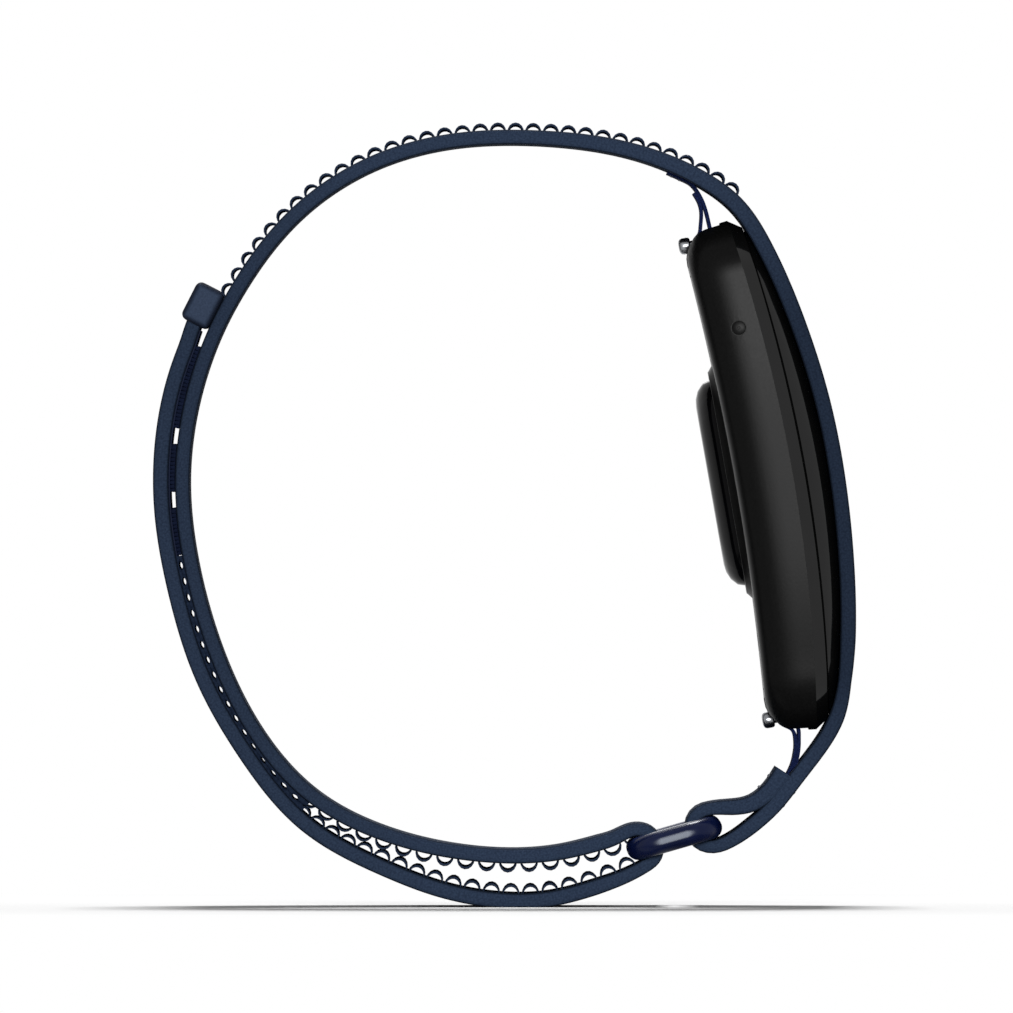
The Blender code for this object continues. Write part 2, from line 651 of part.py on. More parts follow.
gasket_rings = [
    plan_ring(GROOVE_FLOOR + SEAM, *GASKET_OUT, WALL_BOW),
    plan_ring(WALL_TOP, *GASKET_OUT, WALL_BOW),
    plan_ring(WALL_TOP, *GASKET_IN, WALL_BOW),
    plan_ring(GROOVE_FLOOR + SEAM, *GASKET_IN, WALL_BOW),
]
add("cover_gasket", loft(gasket_rings, hollow=True), SEAL_RUBBER, pod)

band_rings = [
    pod_ring(WALL_TOP + SEAM, BAND_FOOT_INSET, WALL_BOW),
    pod_ring(RIDGE - SEAM, BAND_RIM_INSET, WALL_BOW, BAND_END_DRAW),
    plan_ring(RIDGE - SEAM, *BAND_UPPER_IN, WALL_BOW),
    plan_ring(WALL_TOP + SEAM, *BAND_LOWER_IN, WALL_BOW),
]
add("cover_band", loft(band_rings, hollow=True), GLOSS_BLACK, pod)

cover_rings = [
    plan_ring(CREST - COVER_THICKNESS, *COVER_HOLLOW, CREST_BOW),
    plan_ring(RIDGE, *COVER_RIM, WALL_BOW),
]
cover_rings += [pod_ring(*step) for step in COVER_STEPS]
add("outer_cover", loft(cover_rings), GLOSS_BLACK, pod)

# Back cover with its sensor opening, the slanted bezel round it and the window that stands out of it
back_rings = [
    plan_ring(BACK_FACE, *BACK_PLATE, BACK_BOW),
    plan_ring(BACK_INNER, *BACK_PLATE),
    plan_ring(BACK_INNER, *WINDOW_OPENING),
    plan_ring(BACK_FACE, *WINDOW_OPENING, BACK_BOW),
]
back_cover = add("back_cover", loft(back_rings, hollow=True), MATTE_BLACK, pod)
bezel_rings = [
    plan_ring(BACK_FACE - SEAM, *BEZEL_FOOT, BACK_BOW),
    plan_ring(BEZEL_TOP, *BEZEL_LIP),
    plan_ring(BEZEL_TOP, *WINDOW_OPENING),
    plan_ring(BACK_FACE - SEAM, *WINDOW_OPENING, BACK_BOW),
]
add("sensor_bezel", loft(bezel_rings, hollow=True), MATTE_BLACK, pod)
window_rings = [
    window_ring(WINDOW_TOP + WINDOW_THICKNESS, WINDOW_HOLLOW),
    window_ring(BACK_INNER, WINDOW_THICKNESS),
    window_ring(BACK_INNER, 0),
    window_ring(BEZEL_TOP, 0),
]
window_rings += [window_ring(level, inset) for level, inset in WINDOW_STEPS]
add("sensor_window", loft(window_rings), WINDOW_BLACK, pod)

# Charging pads through the back cover, below the sensor
pad_face = BACK_FACE - PAD_HEIGHT**2 / (2 * BACK_BOW)
for number, across in enumerate(PAD_PLACES, start=1):
    pad_place = (0, across, PAD_HEIGHT)
    pad_hole = rod(PAD_RADIUS + SEAM, "X", pad_face - OVERCUT, BACK_INNER + OVERCUT, pad_place, 12)
    cut(back_cover, pad_hole)
    pad = rod(PAD_RADIUS, "X", pad_face, PAD_INNER_END, pad_place, 12)
    add(f"charge_pad_{number}", pad, GOLD_PLATE, pod)

# Vent plug in the side wall, in a shallow round seat
vent_place = (VENT_DEPTH, 0, VENT_HEIGHT)
wall_face = -POD_HALF_WIDTH
vent_start = wall_face - OVERCUT
cut(housing, rod(VENT_SEAT_RADIUS, "Y", vent_start, wall_face + VENT_SEAT_DEPTH, vent_place))
cut(housing, rod(VENT_RADIUS + SEAM, "Y", vent_start, -CAVITY[1] + OVERCUT, vent_place))
add("vent_plug", rod(VENT_RADIUS, "Y", wall_face, wall_face + VENT_LENGTH, vent_place), MATTE_BLACK, pod)

# Electronics on the main board
add("main_board", block(*MAIN_BOARD), BOARD_GREEN, pod)
add("shield_can", block(*SHIELD_CAN), CELL_FOIL, pod)
add("battery", block(*BATTERY), CELL_FOIL, pod)
add("antenna", block(*ANTENNA), COPPER_FILM, pod)

# Sensor board inside the window, with emitters and detectors round a light baffle
add("sensor_board", block(*SENSOR_BOARD), BOARD_GREEN, pod)
chip_foot = SENSOR_FACE - SEAM


def chip(height, half_width, half_length):
    """A flat chip on the sensor board's face."""
    low = (chip_foot - CHIP_THICKNESS, -half_width, height - half_length)
    return block(low, (chip_foot, half_width, height + half_length))


for number, height in enumerate(EMITTER_HEIGHTS, start=1):
    add(f"emitter_{number}", chip(height, EMITTER_HALF, EMITTER_HALF), EMITTER_GREEN, pod)
for number, height in enumerate(DETECTOR_HEIGHTS, start=1):
    add(f"detector_{number}", chip(height, DETECTOR_HALF_WIDTH, DETECTOR_HALF_LENGTH), CHIP_BLACK, pod)
baffle_rings = [
    plan_ring(chip_foot, *BAFFLE_OUT),
    plan_ring(BAFFLE_TOP, *BAFFLE_OUT),
    plan_ring(BAFFLE_TOP, *BAFFLE_IN),
    plan_ring(chip_foot, *BAFFLE_IN),
]
add("light_baffle", loft(baffle_rings, hollow=True), CHIP_BLACK, pod)
flex_route = Route(FLEX_LINE)
flex = strip(flex_route, 0, flex_route.knots[-1], FLEX_THICKNESS)
add("sensor_flex", outline(flex, FLEX_WIDTH), COPPER_FILM, pod)

# Vibration motor: base with its shaft, eccentric rotor and case
motor_place = (0, 0, MOTOR_HEIGHT)
base_top = MOTOR_FLOOR + MOTOR_BASE_THICKNESS
motor_base = add("motor_base", rod(MOTOR_RADIUS, "X", MOTOR_FLOOR, base_top, motor_place, 24), CELL_FOIL, pod)
cut(motor_base, rod(SHAFT_RADIUS, "X", MOTOR_FLOOR + SEAM, SHAFT_END, motor_place, 12), "UNION")
rotor_axis = frame_empty("rotor_axis", motor_place, 0.0, pod)
rotor_disc = rod(ROTOR_RADIUS, "X", ROTOR_LOW, ROTOR_HIGH, (0, 0, 0), 24)
rotor = add("motor_rotor", rotor_disc, BRIGHT_STEEL, rotor_axis)
rotor_from, rotor_to = ROTOR_LOW - OVERCUT, ROTOR_HIGH + OVERCUT
flat_side = ROTOR_RADIUS + OVERCUT
cut(rotor, block((rotor_from, -flat_side, ROTOR_FLAT), (rotor_to, flat_side, flat_side)))
cut(rotor, rod(ROTOR_BORE, "X", rotor_from, rotor_to, (0, 0, 0), 12))
case = add("motor_case", rod(MOTOR_RADIUS, "X", CASE_LOW, CASE_HIGH, motor_place, 24), CELL_FOIL, pod)
case_hollow = rod(MOTOR_RADIUS - MOTOR_WALL, "X", CASE_LOW - OVERCUT, CASE_HIGH - MOTOR_ROOF, motor_place, 24)
cut(case, case_hollow)


def spring_bar(end, height):
    """A spring bar across one end of the pod: tube with a fixed tip, release pin with a peg, and spring."""
    bar = frame_empty(f"{end}_bar_axis", (BAR_DEPTH, 0, height), 0.0, pod)
    tube = add(f"{end}_bar_tube", rod(TUBE_RADIUS, "Y", -TUBE_END, TUBE_END, (0, 0, 0)), BRIGHT_STEEL, bar)
    cut(tube, rod(TIP_RADIUS, "Y", TUBE_END - OVERCUT, TIP_REACH, (0, 0, 0), 12), "UNION")
    cut(tube, rod(BORE_RADIUS, "Y", -TUBE_END - OVERCUT, BORE_END, (0, 0, 0), 12))
    slot_from = PEG_PLACE - TIP_RADIUS - SEAM
    slot_to = PEG_PLACE + TIP_RADIUS + PIN_TRAVEL + SEAM
    slot_reach = TIP_RADIUS + TIP_PLAY
    cut(tube, block((-TUBE_RADIUS - OVERCUT, slot_from, -slot_reach), (0, slot_to, slot_reach)))

    body = rod(BORE_RADIUS - TIP_PLAY, "Y", PIN_FACE, PIN_END, (0, 0, 0), 12)
    pin = add(f"{end}_release_pin", body, BRIGHT_STEEL, bar)
    cut(pin, rod(TIP_RADIUS, "Y", -TIP_REACH, PIN_FACE + OVERCUT, (0, 0, 0), 12), "UNION")
    peg_end = PEG_END - BAR_DEPTH
    cut(pin, rod(TIP_RADIUS, "X", peg_end + PEG_HEAD / 2, 0, (0, PEG_PLACE, 0), 12), "UNION")
    cut(pin, rod(PEG_RADIUS, "X", peg_end, peg_end + PEG_HEAD, (0, PEG_PLACE, 0)), "UNION")

    coil_radius = BORE_RADIUS - SPRING_PLAY - SPRING_WIRE / 2
    coil = bpy.data.curves.new("coil", "CURVE")
    coil.dimensions = "3D"
    coil.bevel_depth = SPRING_WIRE / 2 * MM
    coil.bevel_resolution = 0
    coil.use_fill_caps = True
    wire = coil.splines.new("POLY")
    steps = SPRING_TURNS * SPRING_SIDES
    wire.points.add(steps)
    low, high = PIN_END + SPRING_SEAT, BORE_END - SPRING_SEAT
    for i, point in enumerate(wire.points):
        angle = 2 * math.pi * i / SPRING_SIDES
        along = low + (high - low) * i / steps
        point.co = (coil_radius * math.cos(angle) * MM, along * MM, coil_radius * math.sin(angle) * MM, 1)
    guide = bpy.data.objects.new("coil_guide", coil)
    bpy.context.scene.collection.objects.link(guide)
    shape = bmesh.new()
    evaluated = guide.evaluated_get(bpy.context.evaluated_depsgraph_get())
    shape.from_mesh(bpy.data.meshes.new_from_object(evaluated))
    bpy.data.objects.remove(guide)
    bmesh.ops.remove_doubles(shape, verts=shape.verts, dist=1e-6)
    add(f"{end}_bar_spring", mesh_from(shape), BRIGHT_STEEL, bar)


spring_bar("upper", BAR_HEIGHT)
spring_bar("lower", -BAR_HEIGHT)


def ribbon(name, height, coming, leaving, first_angle, last_angle):
    """A thin ribbon from the strap's inner face round a spring bar and back, open where the peg stands."""
    bar_middle = pod.matrix_world @ (Vector((BAR_DEPTH, 0, height)) * MM) / MM
    wrap = TUBE_RADIUS + RIBBON_PLAY + RIBBON_THICKNESS / 2
    route = Route(coming + arc((bar_middle.x, bar_middle.z), wrap, first_angle, last_angle, 6) + leaving)
    mesh = outline(strip(route, 0, route.knots[-1], RIBBON_THICKNESS), RIBBON_WIDTH)
    part = add(name, mesh, WEBBING)
    clearance = PEG_RADIUS + PEG_PLAY
    gap = block(
        (BAR_DEPTH - 3, PEG_PLACE - clearance, height - 2),
        (BAR_DEPTH, PEG_PLACE + PIN_TRAVEL + clearance, height + 2),
    )
    gap.transform(pod.matrix_world)
    cut(part, gap)


ribbon("upper_ribbon", BAR_HEIGHT, UPPER_RIBBON, UPPER_RIBBON_BACK, 20, -190)
ribbon("lower_ribbon", -BAR_HEIGHT, LOWER_RIBBON, LOWER_RIBBON_BACK, -30, 240)
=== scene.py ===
import math
import random

import bmesh
import bpy
import numpy as np
from mathutils import Matrix, Vector


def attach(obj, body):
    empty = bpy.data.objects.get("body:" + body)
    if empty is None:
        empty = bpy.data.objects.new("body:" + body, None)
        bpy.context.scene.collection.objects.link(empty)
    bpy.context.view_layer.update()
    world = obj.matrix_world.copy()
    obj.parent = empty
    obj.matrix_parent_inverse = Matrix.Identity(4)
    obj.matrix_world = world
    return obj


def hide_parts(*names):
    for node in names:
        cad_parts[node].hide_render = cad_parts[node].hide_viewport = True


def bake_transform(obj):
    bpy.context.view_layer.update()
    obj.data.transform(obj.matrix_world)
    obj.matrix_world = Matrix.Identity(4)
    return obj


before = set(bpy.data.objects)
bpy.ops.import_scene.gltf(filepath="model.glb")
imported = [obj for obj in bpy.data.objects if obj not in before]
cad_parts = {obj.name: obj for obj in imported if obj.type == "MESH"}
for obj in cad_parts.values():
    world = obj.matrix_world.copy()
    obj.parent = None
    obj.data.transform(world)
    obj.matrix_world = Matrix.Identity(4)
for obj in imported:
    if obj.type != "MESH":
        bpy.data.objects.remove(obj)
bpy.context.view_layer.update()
scene = bpy.context.scene
MM = 0.001

# The studio: a plain white floor in a white surround, a soft box low in front, a smaller one overhead
# that leaves a thin shadow under the band, and a weak one behind. The level camera stands far off
# with a long lens, so that only a thin line of the strap's inner faces shows.
FRAME_ACROSS = 92.1 * MM
LOOK_ACROSS = 0.14 * MM
LOOK_HEIGHT = 36.4 * MM
CAMERA_DISTANCE = 4.0
NEAR_EDGE = 11 * MM
SENSOR_WIDTH = 36
camera = bpy.data.objects.new("camera", bpy.data.cameras.new("camera"))
camera.data.sensor_width = SENSOR_WIDTH
camera.data.lens = SENSOR_WIDTH * (CAMERA_DISTANCE - NEAR_EDGE) / FRAME_ACROSS
camera.data.clip_start = 0.01
camera.data.clip_end = 30
camera.location = (LOOK_ACROSS, -CAMERA_DISTANCE, LOOK_HEIGHT)
camera.rotation_euler = (math.pi / 2, 0, 0)
scene.collection.objects.link(camera)
scene.camera = camera
scene.view_settings.view_transform = "Standard"


def add_node(tree, kind, inputs=(), **settings):
    """Adds a shader node. An input that is another node's socket is linked, any other value is set."""
    made = tree.nodes.new("ShaderNode" + kind)
    for name, value in settings.items():
        setattr(made, name, value)
    for place, value in dict(inputs).items():
        if isinstance(value, bpy.types.NodeSocket):
            tree.links.new(value, made.inputs[place])
        else:
            made.inputs[place].default_value = value
    return made


def maths(tree, operation, *values):
    """A sum on sockets and plain values."""
    return add_node(tree, "Math", enumerate(values), operation=operation).outputs[0]


def ranged(tree, value, span=(0, 1), onto=(0, 1), kind="LINEAR"):
    """Maps a value from one span onto another."""
    ends = {"From Min": span[0], "From Max": span[1], "To Min": onto[0], "To Max": onto[1]}
    return add_node(tree, "MapRange", {"Value": value, **ends}, interpolation_type=kind).outputs["Result"]


def shown_rays(tree):
    """1 for rays from the camera, from gloss and through glass, which see the plain white surround."""
    rays = add_node(tree, "LightPath").outputs
    seen = maths(tree, "MAXIMUM", rays["Is Camera Ray"], rays["Is Glossy Ray"])
    return maths(tree, "MAXIMUM", seen, rays["Is Transmission Ray"])


AMBIENT = 0.14
world = bpy.data.worlds.new("white_surround")
world.use_nodes = True
scene.world = world
sky = world.node_tree
sky.nodes.clear()
fill = add_node(sky, "Background", {"Color": (1, 1, 1, 1), "Strength": AMBIENT})
white = add_node(sky, "Background", {"Color": (1, 1, 1, 1), "Strength": 1.0})
sky_mix = add_node(sky, "MixShader", {0: shown_rays(sky), 1: fill.outputs[0], 2: white.outputs[0]})
add_node(sky, "OutputWorld", {"Surface": sky_mix.outputs[0]})


def soft_box(name, across, up, place, aim, watts):
    """A rectangular soft lamp that looks at a point."""
    lamp = bpy.data.objects.new(name, bpy.data.lights.new(name, "AREA"))
    lamp.data.shape = "RECTANGLE"
    lamp.data.size = across
    lamp.data.size_y = up
    lamp.data.energy = watts
    lamp.location = place
    lamp.rotation_euler = (Vector(aim) - Vector(place)).to_track_quat("-Z", "Y").to_euler()
    lamp.visible_camera = False
    scene.collection.objects.link(lamp)


BAND_MIDDLE = (0, 0, 0.036)
FLOOR_MIDDLE = (0, 0, 0)
soft_box("front_box", across=0.6, up=0.45, place=(0, -1.9, 0.25), aim=BAND_MIDDLE, watts=31)
soft_box("overhead_box", across=0.3, up=0.25, place=(0, 0.45, 0.9), aim=FLOOR_MIDDLE, watts=10)
soft_box("back_box", across=1.0, up=0.8, place=(0, 1.9, 0.8), aim=BAND_MIDDLE, watts=5)


def as_mesh(name, shape):
    """Turns a finished shape into a mesh."""
    mesh = bpy.data.meshes.new(name)
    shape.to_mesh(mesh)
    shape.free()
    return mesh


FLOOR_HALF = 1.5
FLOOR_DROP = 0.03 * MM
SHADOW_REACH = (0.035, 0.11)
PAPER_TONES = (0.3, 0.84)
floor_shape = bmesh.new()
bmesh.ops.create_grid(floor_shape, x_segments=2, y_segments=2, size=FLOOR_HALF)
floor_mesh = as_mesh("floor", floor_shape)
floor = bpy.data.objects.new("floor", floor_mesh)
floor.location.z = -FLOOR_DROP
scene.collection.objects.link(floor)
floor_paint = bpy.data.materials.new("white_floor")
floor_paint.use_nodes = True
tree = floor_paint.node_tree
tree.nodes.clear()
coords = add_node(tree, "TexCoord").outputs["Object"]
reach = add_node(tree, "VectorMath", {0: coords}, operation="LENGTH").outputs["Value"]
away = ranged(tree, reach, SHADOW_REACH, kind="SMOOTHSTEP")
glow = maths(tree, "MULTIPLY", away, shown_rays(tree))
paper = add_node(tree, "BsdfDiffuse", {"Color": ranged(tree, shown_rays(tree), onto=PAPER_TONES)})
lit = add_node(tree, "Emission", {"Color": (1, 1, 1, 1), "Strength": 1.0})
floor_mix = add_node(tree, "MixShader", {0: glow, 1: paper.outputs[0], 2: lit.outputs[0]})
add_node(tree, "OutputMaterial", {"Surface": floor_mix.outputs[0]})
floor_mesh.materials.append(floor_paint)

# The strap: one long woven band of navy polyester, 22 mm wide and 1.4 mm thick, with soft rounded
# edges. Its first end goes round the ring's right bar and is sewn back on itself, then it runs up
# over the pod, over the top, down the left side and along the bottom to the ring's left bar.
STRAP_WIDTH = 22
STRAP_THICKNESS = 1.4
STRAP_EDGE = 0.42
SEWN_END_THICKNESS = 1.7
FOLD_THICKNESS = 1.2
POD_END_THICKNESS = 1.2
RING_WIRE = 2.1
RIGHT_BAR = (18.7, 7.19)
LEFT_BAR = (12.12, 5.3)
FOLD_PLAY = 0.08
FOLD_RADIUS = RING_WIRE / 2 + FOLD_PLAY + FOLD_THICKNESS / 2
# Painted shade: the strap's broad faces are darkened to this share of their colour, against its lit edges.
BROAD_FACE_SHADE = 0.5
INNER_DRAW = 0.08


class Route:
    """A smooth curve through points in XZ, in mm, with a length along it to each point."""

    def __init__(self, points):
        self.points = np.array(points, float)
        chords = np.linalg.norm(np.diff(self.points, axis=0), axis=1)
        self.knots = np.concatenate([[0], np.cumsum(chords)])
        count = len(self.points)
        system = np.eye(count)
        wanted = np.zeros((count, 2))
        for i in range(1, count - 1):
            before, after = chords[i - 1], chords[i]
            system[i, i - 1 : i + 2] = before, 2 * (before + after), after
            rise = (self.points[i + 1] - self.points[i]) / after
            wanted[i] = 6 * (rise - (self.points[i] - self.points[i - 1]) / before)
        self.bends = np.linalg.solve(system, wanted)

    def at(self, length):
        """The place and the direction at a length along the route."""
        i = int(np.clip(np.searchsorted(self.knots, length) - 1, 0, len(self.knots) - 2))
        span = self.knots[i + 1] - self.knots[i]
        ahead = (length - self.knots[i]) / span
        behind = 1 - ahead
        low, high = self.bends[i], self.bends[i + 1]
        place = behind * self.points[i] + ahead * self.points[i + 1]
        place += span**2 / 6 * ((behind**3 - behind) * low + (ahead**3 - ahead) * high)
        course = (self.points[i + 1] - self.points[i]) / span
        course += span / 6 * ((3 * ahead**2 - 1) * high - (3 * behind**2 - 1) * low)
        return place, course / np.linalg.norm(course)

    def beside(self, length, distance):
        """The place at a distance to the right of the route."""
        place, course = self.at(length)
        return place + distance * np.array((course[1], -course[0]))

    def near(self, point):
        """The length along the route at one of its own points."""
        return self.knots[int(np.argmin(np.linalg.norm(self.points - point, axis=1)))]


def arc(centre, radius, first, last, steps=4):
    """Points on a circle between two angles in degrees."""
    angles = np.radians(np.linspace(first, last, steps + 1))
    return [(centre[0] + radius * math.cos(a), centre[1] + radius * math.sin(a)) for a in angles]


SEWN_END = [(25.34, 12.27), (24.26, 10.75), (22.38, 9.34), (20.5, 9.03)]
RIGHT_SIDE = [(20.4, 5.95), (22.4, 7.3), (24.43, 9.12), (26.45, 11.63), (28.1, 13.77), (30.2, 17.3)]
RIGHT_SIDE += [(30.9, 20.4), (31.2, 24.3), (31.05, 31.5), (30.3, 38.7), (28.9, 45.9), (26.65, 53.1), (23.5, 60.3)]
TOP = [(21.1, 63.85), (17.7, 66.35), (10.6, 69.0), (3.2, 69.9), (-4.2, 69.7), (-11.65, 67.75), (-19.15, 62.8)]
LEFT_SIDE = [(-24.2, 56.3), (-25.65, 53.7), (-28.35, 46.3), (-29.3, 38.8), (-28.55, 31.4), (-26.55, 24.0)]
LEFT_SIDE += [(-23.1, 16.6), (-17.25, 9.91)]
BOTTOM = [(-11.47, 6.84), (-2.3, 4.78), (5.1, 4.96), (8.5, 5.76)]
LEAD_IN = [(9.95, 6.24)]
RETURN = [(8.2, 1.75), (4.2, 0.72), (-1.4, 0.66), (-5.7, 1.5), (-11.0, 3.48), (-18.18, 7.56), (-23.45, 13.74)]
RETURN += [(-27.5, 20.9), (-29.81, 28.07), (-30.6, 31.68)]
TAIL = [(-31.13, 35.24), (-31.13, 42.36), (-29.54, 49.52), (-28.8, 51.55), (-28.31, 53.0), (-27.72, 54.22)]
right_fold = arc(RIGHT_BAR, FOLD_RADIUS, 90, 270)
left_fold = arc(LEFT_BAR, FOLD_RADIUS, 100, -70)
route_points = SEWN_END + right_fold + RIGHT_SIDE + TOP + LEFT_SIDE + BOTTOM + LEAD_IN
strap_route = Route(route_points + left_fold + RETURN + TAIL)


def along_strap(*stops):
    """Turns pairs of one of the route's points and a value into pairs of a length along the strap and that value."""
    return [(strap_route.near(point), value) for point, value in stops]


strap_thickness = along_strap(
    (SEWN_END[0], SEWN_END_THICKNESS),
    (SEWN_END[3], STRAP_THICKNESS),
    (right_fold[0], FOLD_THICKNESS),
    (right_fold[-1], FOLD_THICKNESS),
    (RIGHT_SIDE[1], STRAP_THICKNESS),
    (RIGHT_SIDE[5], STRAP_THICKNESS),
    (RIGHT_SIDE[6], POD_END_THICKNESS),
    (RIGHT_SIDE[7], STRAP_THICKNESS),
    (BOTTOM[-1], STRAP_THICKNESS),
    (left_fold[0], FOLD_THICKNESS),
    (left_fold[-1], FOLD_THICKNESS),
    (RETURN[0], STRAP_THICKNESS),
)
tail_end = strap_route.knots[-1]
bend_start = strap_route.near(BOTTOM[2])
bend_end = strap_route.near(RETURN[1])
peel_line = strap_route.near(RETURN[-1])
inner_face_draws = along_strap(
    (RIGHT_SIDE[10], 0),
    (RIGHT_SIDE[12], -INNER_DRAW),
    (TOP[1], -INNER_DRAW),
    (TOP[3], INNER_DRAW),
    (BOTTOM[1], INNER_DRAW),
    (BOTTOM[3], 0),
)


def block(shape, size, place=Matrix()):
    """Adds a block to a shape, its middle at a place."""
    bmesh.ops.create_cube(shape, size=1, matrix=place @ Matrix.Diagonal((*size, 1)))


def round_edges(shape, edges, radius, steps):
    """Rounds some of a shape's edges."""
    bmesh.ops.bevel(shape, geom=edges, offset=radius, affect="EDGES", segments=steps, profile=0.5, material=-1)


def edges_along(shape, least):
    """A shape's edges that reach further along X than a length."""
    return [e for e in shape.edges if abs(e.verts[0].co.x - e.verts[1].co.x) > least]


def cloth_bar(length, width, thickness, edge, step=0.5):
    """A flat bar of cloth: X along it from 0, Y across, Z its thickness, with rounded long edges."""
    bar = bmesh.new()
    block(bar, (length, width, thickness), Matrix.Translation((length / 2, 0, 0)))
    round_edges(bar, edges_along(bar, length / 2), edge, 4)
    cuts = max(1, int(length / step))
    bmesh.ops.subdivide_edges(bar, edges=edges_along(bar, length / 2), cuts=cuts, use_grid_fill=True)
    return bar


def mark_cloth(shape, start, width):
    """Marks each face with its place on the flat cloth in mm: length along, and place across or on the edge."""
    shape.normal_update()
    marks = shape.loops.layers.uv.new("cloth")
    for face in shape.faces:
        broad = abs(face.normal.z) > 0.7
        for corner in face.loops:
            x, y, z = corner.vert.co
            corner[marks].uv = (start + x, y if broad else width + z)


def lay(shape, route, start, floor_level=None):
    """Bends a flat shape along a route, with its Z to the right of the route, and turns mm into metres."""
    for vert in shape.verts:
        x, z = route.beside(start + vert.co.x, vert.co.z)
        vert.co = Vector((x, vert.co.y, z if floor_level is None else max(z, floor_level))) * MM


def piece(name, shape, material, sharp=40, place=None):
    """Puts a finished shape in its place and makes it a named piece, smooth but for its sharp edges."""
    if place is not None:
        bmesh.ops.transform(shape, matrix=place, verts=shape.verts)
    bmesh.ops.recalc_face_normals(shape, faces=shape.faces)
    mesh = as_mesh(name, shape)
    mesh.shade_smooth()
    mesh.set_sharp_from_angle(angle=math.radians(sharp))
    mesh.materials.append(material)
    made = bpy.data.objects.new(name, mesh)
    scene.collection.objects.link(made)
    return made


def colour(red, green, blue):
    """A colour written as 0 to 255 on screen, as the shader wants it."""
    parts = [c / 255 for c in (red, green, blue)]
    return (*[c / 12.92 if c < 0.04045 else ((c + 0.055) / 1.055) ** 2.4 for c in parts], 1)


def new_material(name, **values):
    """A material and its tree and shader, with plain values set on the shader's own sockets."""
    made = bpy.data.materials.new(name)
    made.use_nodes = True
    shader = made.node_tree.nodes["Principled BSDF"]
    for socket, value in values.items():
        shader.inputs[socket.replace("_", " ")].default_value = value
    return made, made.node_tree, shader


def tones(tree, factor, *stops):
    """A colour ramp through stops of (place, colour)."""
    ramp = add_node(tree, "ValToRGB", {"Fac": factor})
    for number, (place, tone) in enumerate(stops):
        stop = ramp.color_ramp.elements[number] if number < 2 else ramp.color_ramp.elements.new(place)
        stop.position = place
        stop.color = tone
    return ramp.outputs["Color"]


def woven(name, dark, light, width, painted_shade, stitch=0.24, rib=0.6):
    """Cloth with a knitted grain, ribs across it and mixed yarns, and painted shade: its broad faces darker than its
    edges, and stretches along it darker or lighter.
    """
    made, tree, shader = new_material(name, Roughness=0.9, Specular_IOR_Level=0.05)
    flat = add_node(tree, "UVMap", uv_map="cloth").outputs["UV"]
    cells = {"Vector": flat, "Scale": 1 / stitch, "Randomness": 0.7}
    knit = add_node(tree, "TexVoronoi", cells, voronoi_dimensions="2D").outputs["Distance"]
    bands = {"Vector": flat, "Scale": 2 * math.pi / (20 * rib), "Distortion": 0.8, "Detail Scale": 2.0}
    ribs = add_node(tree, "TexWave", bands, wave_type="BANDS", bands_direction="X").outputs["Fac"]
    strands = {"Vector": flat, "Scale": 5.0, "Detail": 3.0}
    yarn = add_node(tree, "TexNoise", strands, noise_dimensions="2D").outputs["Fac"]
    mixed = maths(tree, "MULTIPLY_ADD", knit, -0.45, yarn)
    yarns = tones(tree, mixed, (0.1, colour(*dark)), (0.55, colour(*light)))
    sides = add_node(tree, "SeparateXYZ", {"Vector": flat}).outputs
    # Painted shade: the broad faces are darkened against the edges, standing in for the shade on the loop's inner
    # faces.
    edge = ranged(tree, sides["Y"], (width / 2, width / 2 + 0.01), (BROAD_FACE_SHADE, 1))
    # Painted shade along the length: the colour is scaled by the shares passed in.
    part_way = maths(tree, "DIVIDE", sides["X"], painted_shade[-1][0])
    stops = [(length / painted_shade[-1][0], (level, level, level, 1)) for length, level in painted_shade]
    shaded_along = add_node(tree, "VectorMath", {0: yarns, 1: tones(tree, part_way, *stops)}, operation="MULTIPLY")
    painted_shade_tone = add_node(tree, "VectorMath", {0: shaded_along.outputs[0], "Scale": edge}, operation="SCALE").outputs[0]
    tree.links.new(painted_shade_tone, shader.inputs["Base Color"])
    raised = maths(tree, "MULTIPLY_ADD", ribs, 0.5, knit)
    bump = add_node(tree, "Bump", {"Strength": 0.4, "Distance": 0.00004, "Height": raised})
    tree.links.new(bump.outputs[0], shader.inputs["Normal"])
    return made


# Painted shade along the strap, as shares of its colour: darker over the pod, down the left side and up the tail, a
# little lighter along the bottom.
strap_painted_shade = along_strap(
    (RIGHT_SIDE[3], 1.0),
    (RIGHT_SIDE[6], 0.58),
    (RIGHT_SIDE[11], 0.58),
    (TOP[1], 1.0),
    (TOP[5], 1.0),
    (LEFT_SIDE[1], 0.78),
    (LEFT_SIDE[6], 0.82),
    (BOTTOM[1], 1.04),
    (RETURN[3], 1.04),
    (RETURN[6], 0.88),
    (TAIL[-1], 0.8),
)
strap_cloth = woven("strap_cloth", (36, 47, 66), (46, 59, 80), STRAP_WIDTH, strap_painted_shade)


def strap_stretch(name, first, last, step=0.5):
    """The strap between two lengths along its route, thinner where it is folded or pulled."""
    bar = cloth_bar(last - first, STRAP_WIDTH, STRAP_THICKNESS, STRAP_EDGE, step)
    mark_cloth(bar, first, STRAP_WIDTH)
    for vert in bar.verts:
        vert.co.z *= np.interp(first + vert.co.x, *zip(*strap_thickness)) / STRAP_THICKNESS
        if vert.co.z < 0:
            vert.co.z += np.interp(first + vert.co.x, *zip(*inner_face_draws))
    lay(bar, strap_route, first, 0.0)
    return piece(name, bar, strap_cloth)


strap = strap_stretch("strap_cloth", 0, bend_start)
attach(strap, "band")
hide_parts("strap")

# The strap's bend round the ring's left bar, and the outer layer that goes back along the bottom
# and up the left side to the tail, which peels away.
bend = strap_stretch("strap_bend", bend_start, bend_end, 0.3)
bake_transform(bend)
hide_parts("strap_turn")

